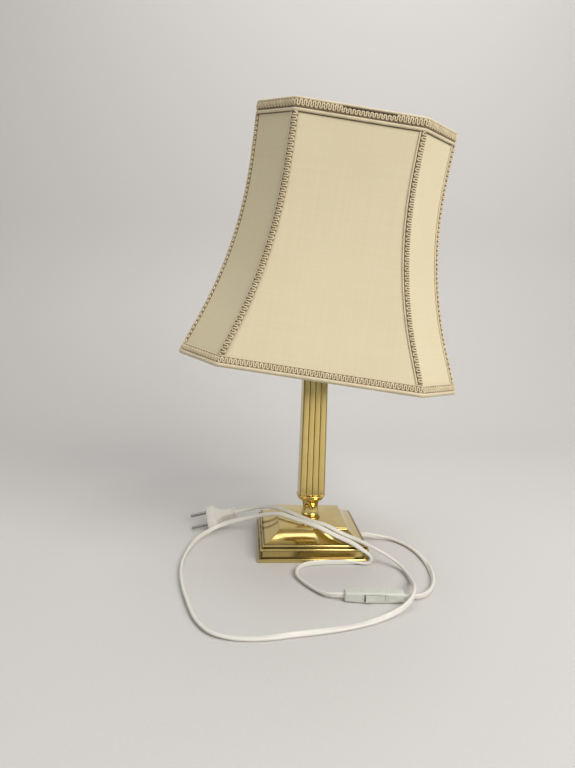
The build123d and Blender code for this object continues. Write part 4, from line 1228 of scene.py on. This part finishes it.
def flex_section(steps=8, arc=118.0):
    """Outline of the flat flex: two round cores with a shallow groove between them."""
    radius = FLEX_THICKNESS / 2
    offset = FLEX_WIDTH / 2 - radius
    section = []
    for side in (1, -1):
        for step in range(steps + 1):
            angle = rad(arc * (2 * step / steps - 1))
            section.append((side * (offset + radius * cos(angle)), side * radius * sin(angle)))
    return section


def roll_keys(line, route, rolls):
    """Places along a line that are nearest to the route's points, each with the roll given there."""
    keys = []
    for stop, roll in rolls.items():
        point = Vector(route[stop]) * MM
        distances = [(spot - point).length for spot in line]
        keys.append((distances.index(min(distances)), roll))
    return sorted(keys)


def roll_at(keys, marks, index):
    """Roll at a place along the line, eased between the places that give one."""
    before = [key for key in keys if key[0] <= index]
    after = [key for key in keys if key[0] > index]
    if not before:
        return keys[0][1]
    if not after:
        return keys[-1][1]
    start, first = before[-1]
    stop, last = after[0]
    share = (marks[index] - marks[start]) / (marks[stop] - marks[start])
    return first + (last - first) * eased(share)


def flat_flex(name, route, rolls, node):
    """Flat flex along a route, with its roll given at points of the route."""
    line = smooth_line(name, route)
    marks = lengths_along(line)
    keys = roll_keys(line, route, rolls)
    section = flex_section()
    rings = []
    wide_before = None
    for index, spot in enumerate(line):
        ahead = line[min(index + 1, len(line) - 1)]
        behind = line[max(index - 1, 0)]
        tangent = (ahead - behind).normalized()
        level = tangent.cross(Vector((0, 0, 1))).normalized()
        upward = level.cross(tangent).normalized()
        wide, thin = rolled(level, upward, roll_at(keys, marks, index))
        # The section is the same after half a turn, and must not spin where the flex folds back
        if wide_before and wide.dot(wide_before) < 0:
            wide = -wide
            thin = -thin
        wide_before = wide
        rings.append([(spot + wide * x * MM + thin * y * MM) / MM for x, y in section])
    piece = loft(name, rings, capped=True, smooth_angle=60.0)
    place_piece(piece, FLEX_PLASTIC, "lamp", "flex_plastic", node)
    return piece, line, marks[-1]


lead, lead_line, lead_length = flat_flex("flex_lead", BASE_TO_SWITCH, LEAD_ROLLS, "flex_base_to_switch")
tail, tail_line, tail_length = flat_flex("flex_tail", SWITCH_TO_PLUG, TAIL_ROLLS, "flex_switch_to_plug")


# Stage: pale floor curving up to a pale backdrop
def stage_material():
    """Pale, faintly grained paint."""
    made, tree, shader = new_material("pale_stage")
    grain = noise(tree, scale=400, detail=2)
    tone = two_colours(grain, (0.60, 0.59, 0.58), (0.64, 0.63, 0.62))
    feed(shader, Base_Color=tone, Roughness=0.6)
    return made


stage_rows = [(STAGE_FRONT, 0.0), (STAGE_BEND_AT, 0.0)]
for step in range(1, STAGE_BEND_STEPS + 1):
    angle = rad(90 * step / STAGE_BEND_STEPS)
    stage_rows.append((STAGE_BEND_AT + STAGE_BEND * sin(angle), STAGE_BEND * (1 - cos(angle))))
stage_rows.append((STAGE_BEND_AT + STAGE_BEND, STAGE_TOP))
stage_points = [(x, y, z) for y, z in stage_rows for x in (-STAGE_HALF_WIDTH, STAGE_HALF_WIDTH)]
stage_faces = [(2 * row, 2 * row + 1, 2 * row + 3, 2 * row + 2) for row in range(len(stage_rows) - 1)]
stage = mesh_object("stage", stage_points, stage_faces)
dress(stage, stage_material())


# Light, camera and view
def soft_light(name, place, aim, size, power, colour):
    """Rectangular area light with its size in metres and its power in watts."""
    lamp = bpy.data.lights.new(name, "AREA")
    lamp.shape = "RECTANGLE"
    lamp.size, lamp.size_y = size
    lamp.energy = power
    lamp.color = colour
    holder = bpy.data.objects.new(name, lamp)
    holder.location = Vector(place) * MM
    holder.rotation_euler = (Vector(aim) - Vector(place)).to_track_quat("-Z", "Y").to_euler()
    scene.collection.objects.link(holder)


soft_light("key", (900, -1300, 1300), aim=(0, 0, 220), size=(1.4, 1.1), power=34, colour=(1.0, 0.97, 0.92))
soft_light("fill", (-1500, -700, 900), aim=(0, 0, 200), size=(1.2, 1.4), power=6, colour=(1.0, 0.97, 0.93))
soft_light("top", (100, 300, 1700), aim=(0, 0, 200), size=(1.6, 1.6), power=14, colour=(1.0, 1.0, 1.0))

# The room beyond the stage: dim as a light, pale where it is seen, mirrored or seen through glass
world = bpy.data.worlds.new("studio")
world.use_nodes = True
sky = world.node_tree
rays = add_node(sky, "LightPath").outputs
seen = arithmetic("MAXIMUM", rays["Is Camera Ray"], rays["Is Glossy Ray"])
seen = arithmetic("MAXIMUM", seen, rays["Is Transmission Ray"])
strength = spread(seen, low=0.0, high=1.0, to_low=ROOM_LIGHT, to_high=ROOM_SEEN)
feed(sky.nodes["Background"], Color=(ROOM_GREY, ROOM_GREY, ROOM_GREY, 1), Strength=strength)
scene.world = world
scene.view_settings.view_transform = "Standard"

# Camera, turned, tipped down and rolled as in the photograph
yaw = rad(CAMERA_YAW)
pitch = rad(CAMERA_PITCH)
look = Vector((sin(yaw) * cos(pitch), cos(yaw) * cos(pitch), -sin(pitch)))
level_right = Vector((cos(yaw), -sin(yaw), 0))
right, up = rolled(level_right, level_right.cross(look), CAMERA_ROLL)
lens = bpy.data.cameras.new("camera")
lens.sensor_fit = "VERTICAL"
lens.sensor_height = SENSOR_HEIGHT
lens.lens = CAMERA_LENS
lens.clip_start = CLIP_START
camera = bpy.data.objects.new("camera", lens)
camera_axes = Matrix((right, up, -look)).transposed().to_4x4()
camera.matrix_world = Matrix.Translation(Vector(CAMERA_AT) * MM) @ camera_axes
scene.collection.objects.link(camera)
scene.camera = camera
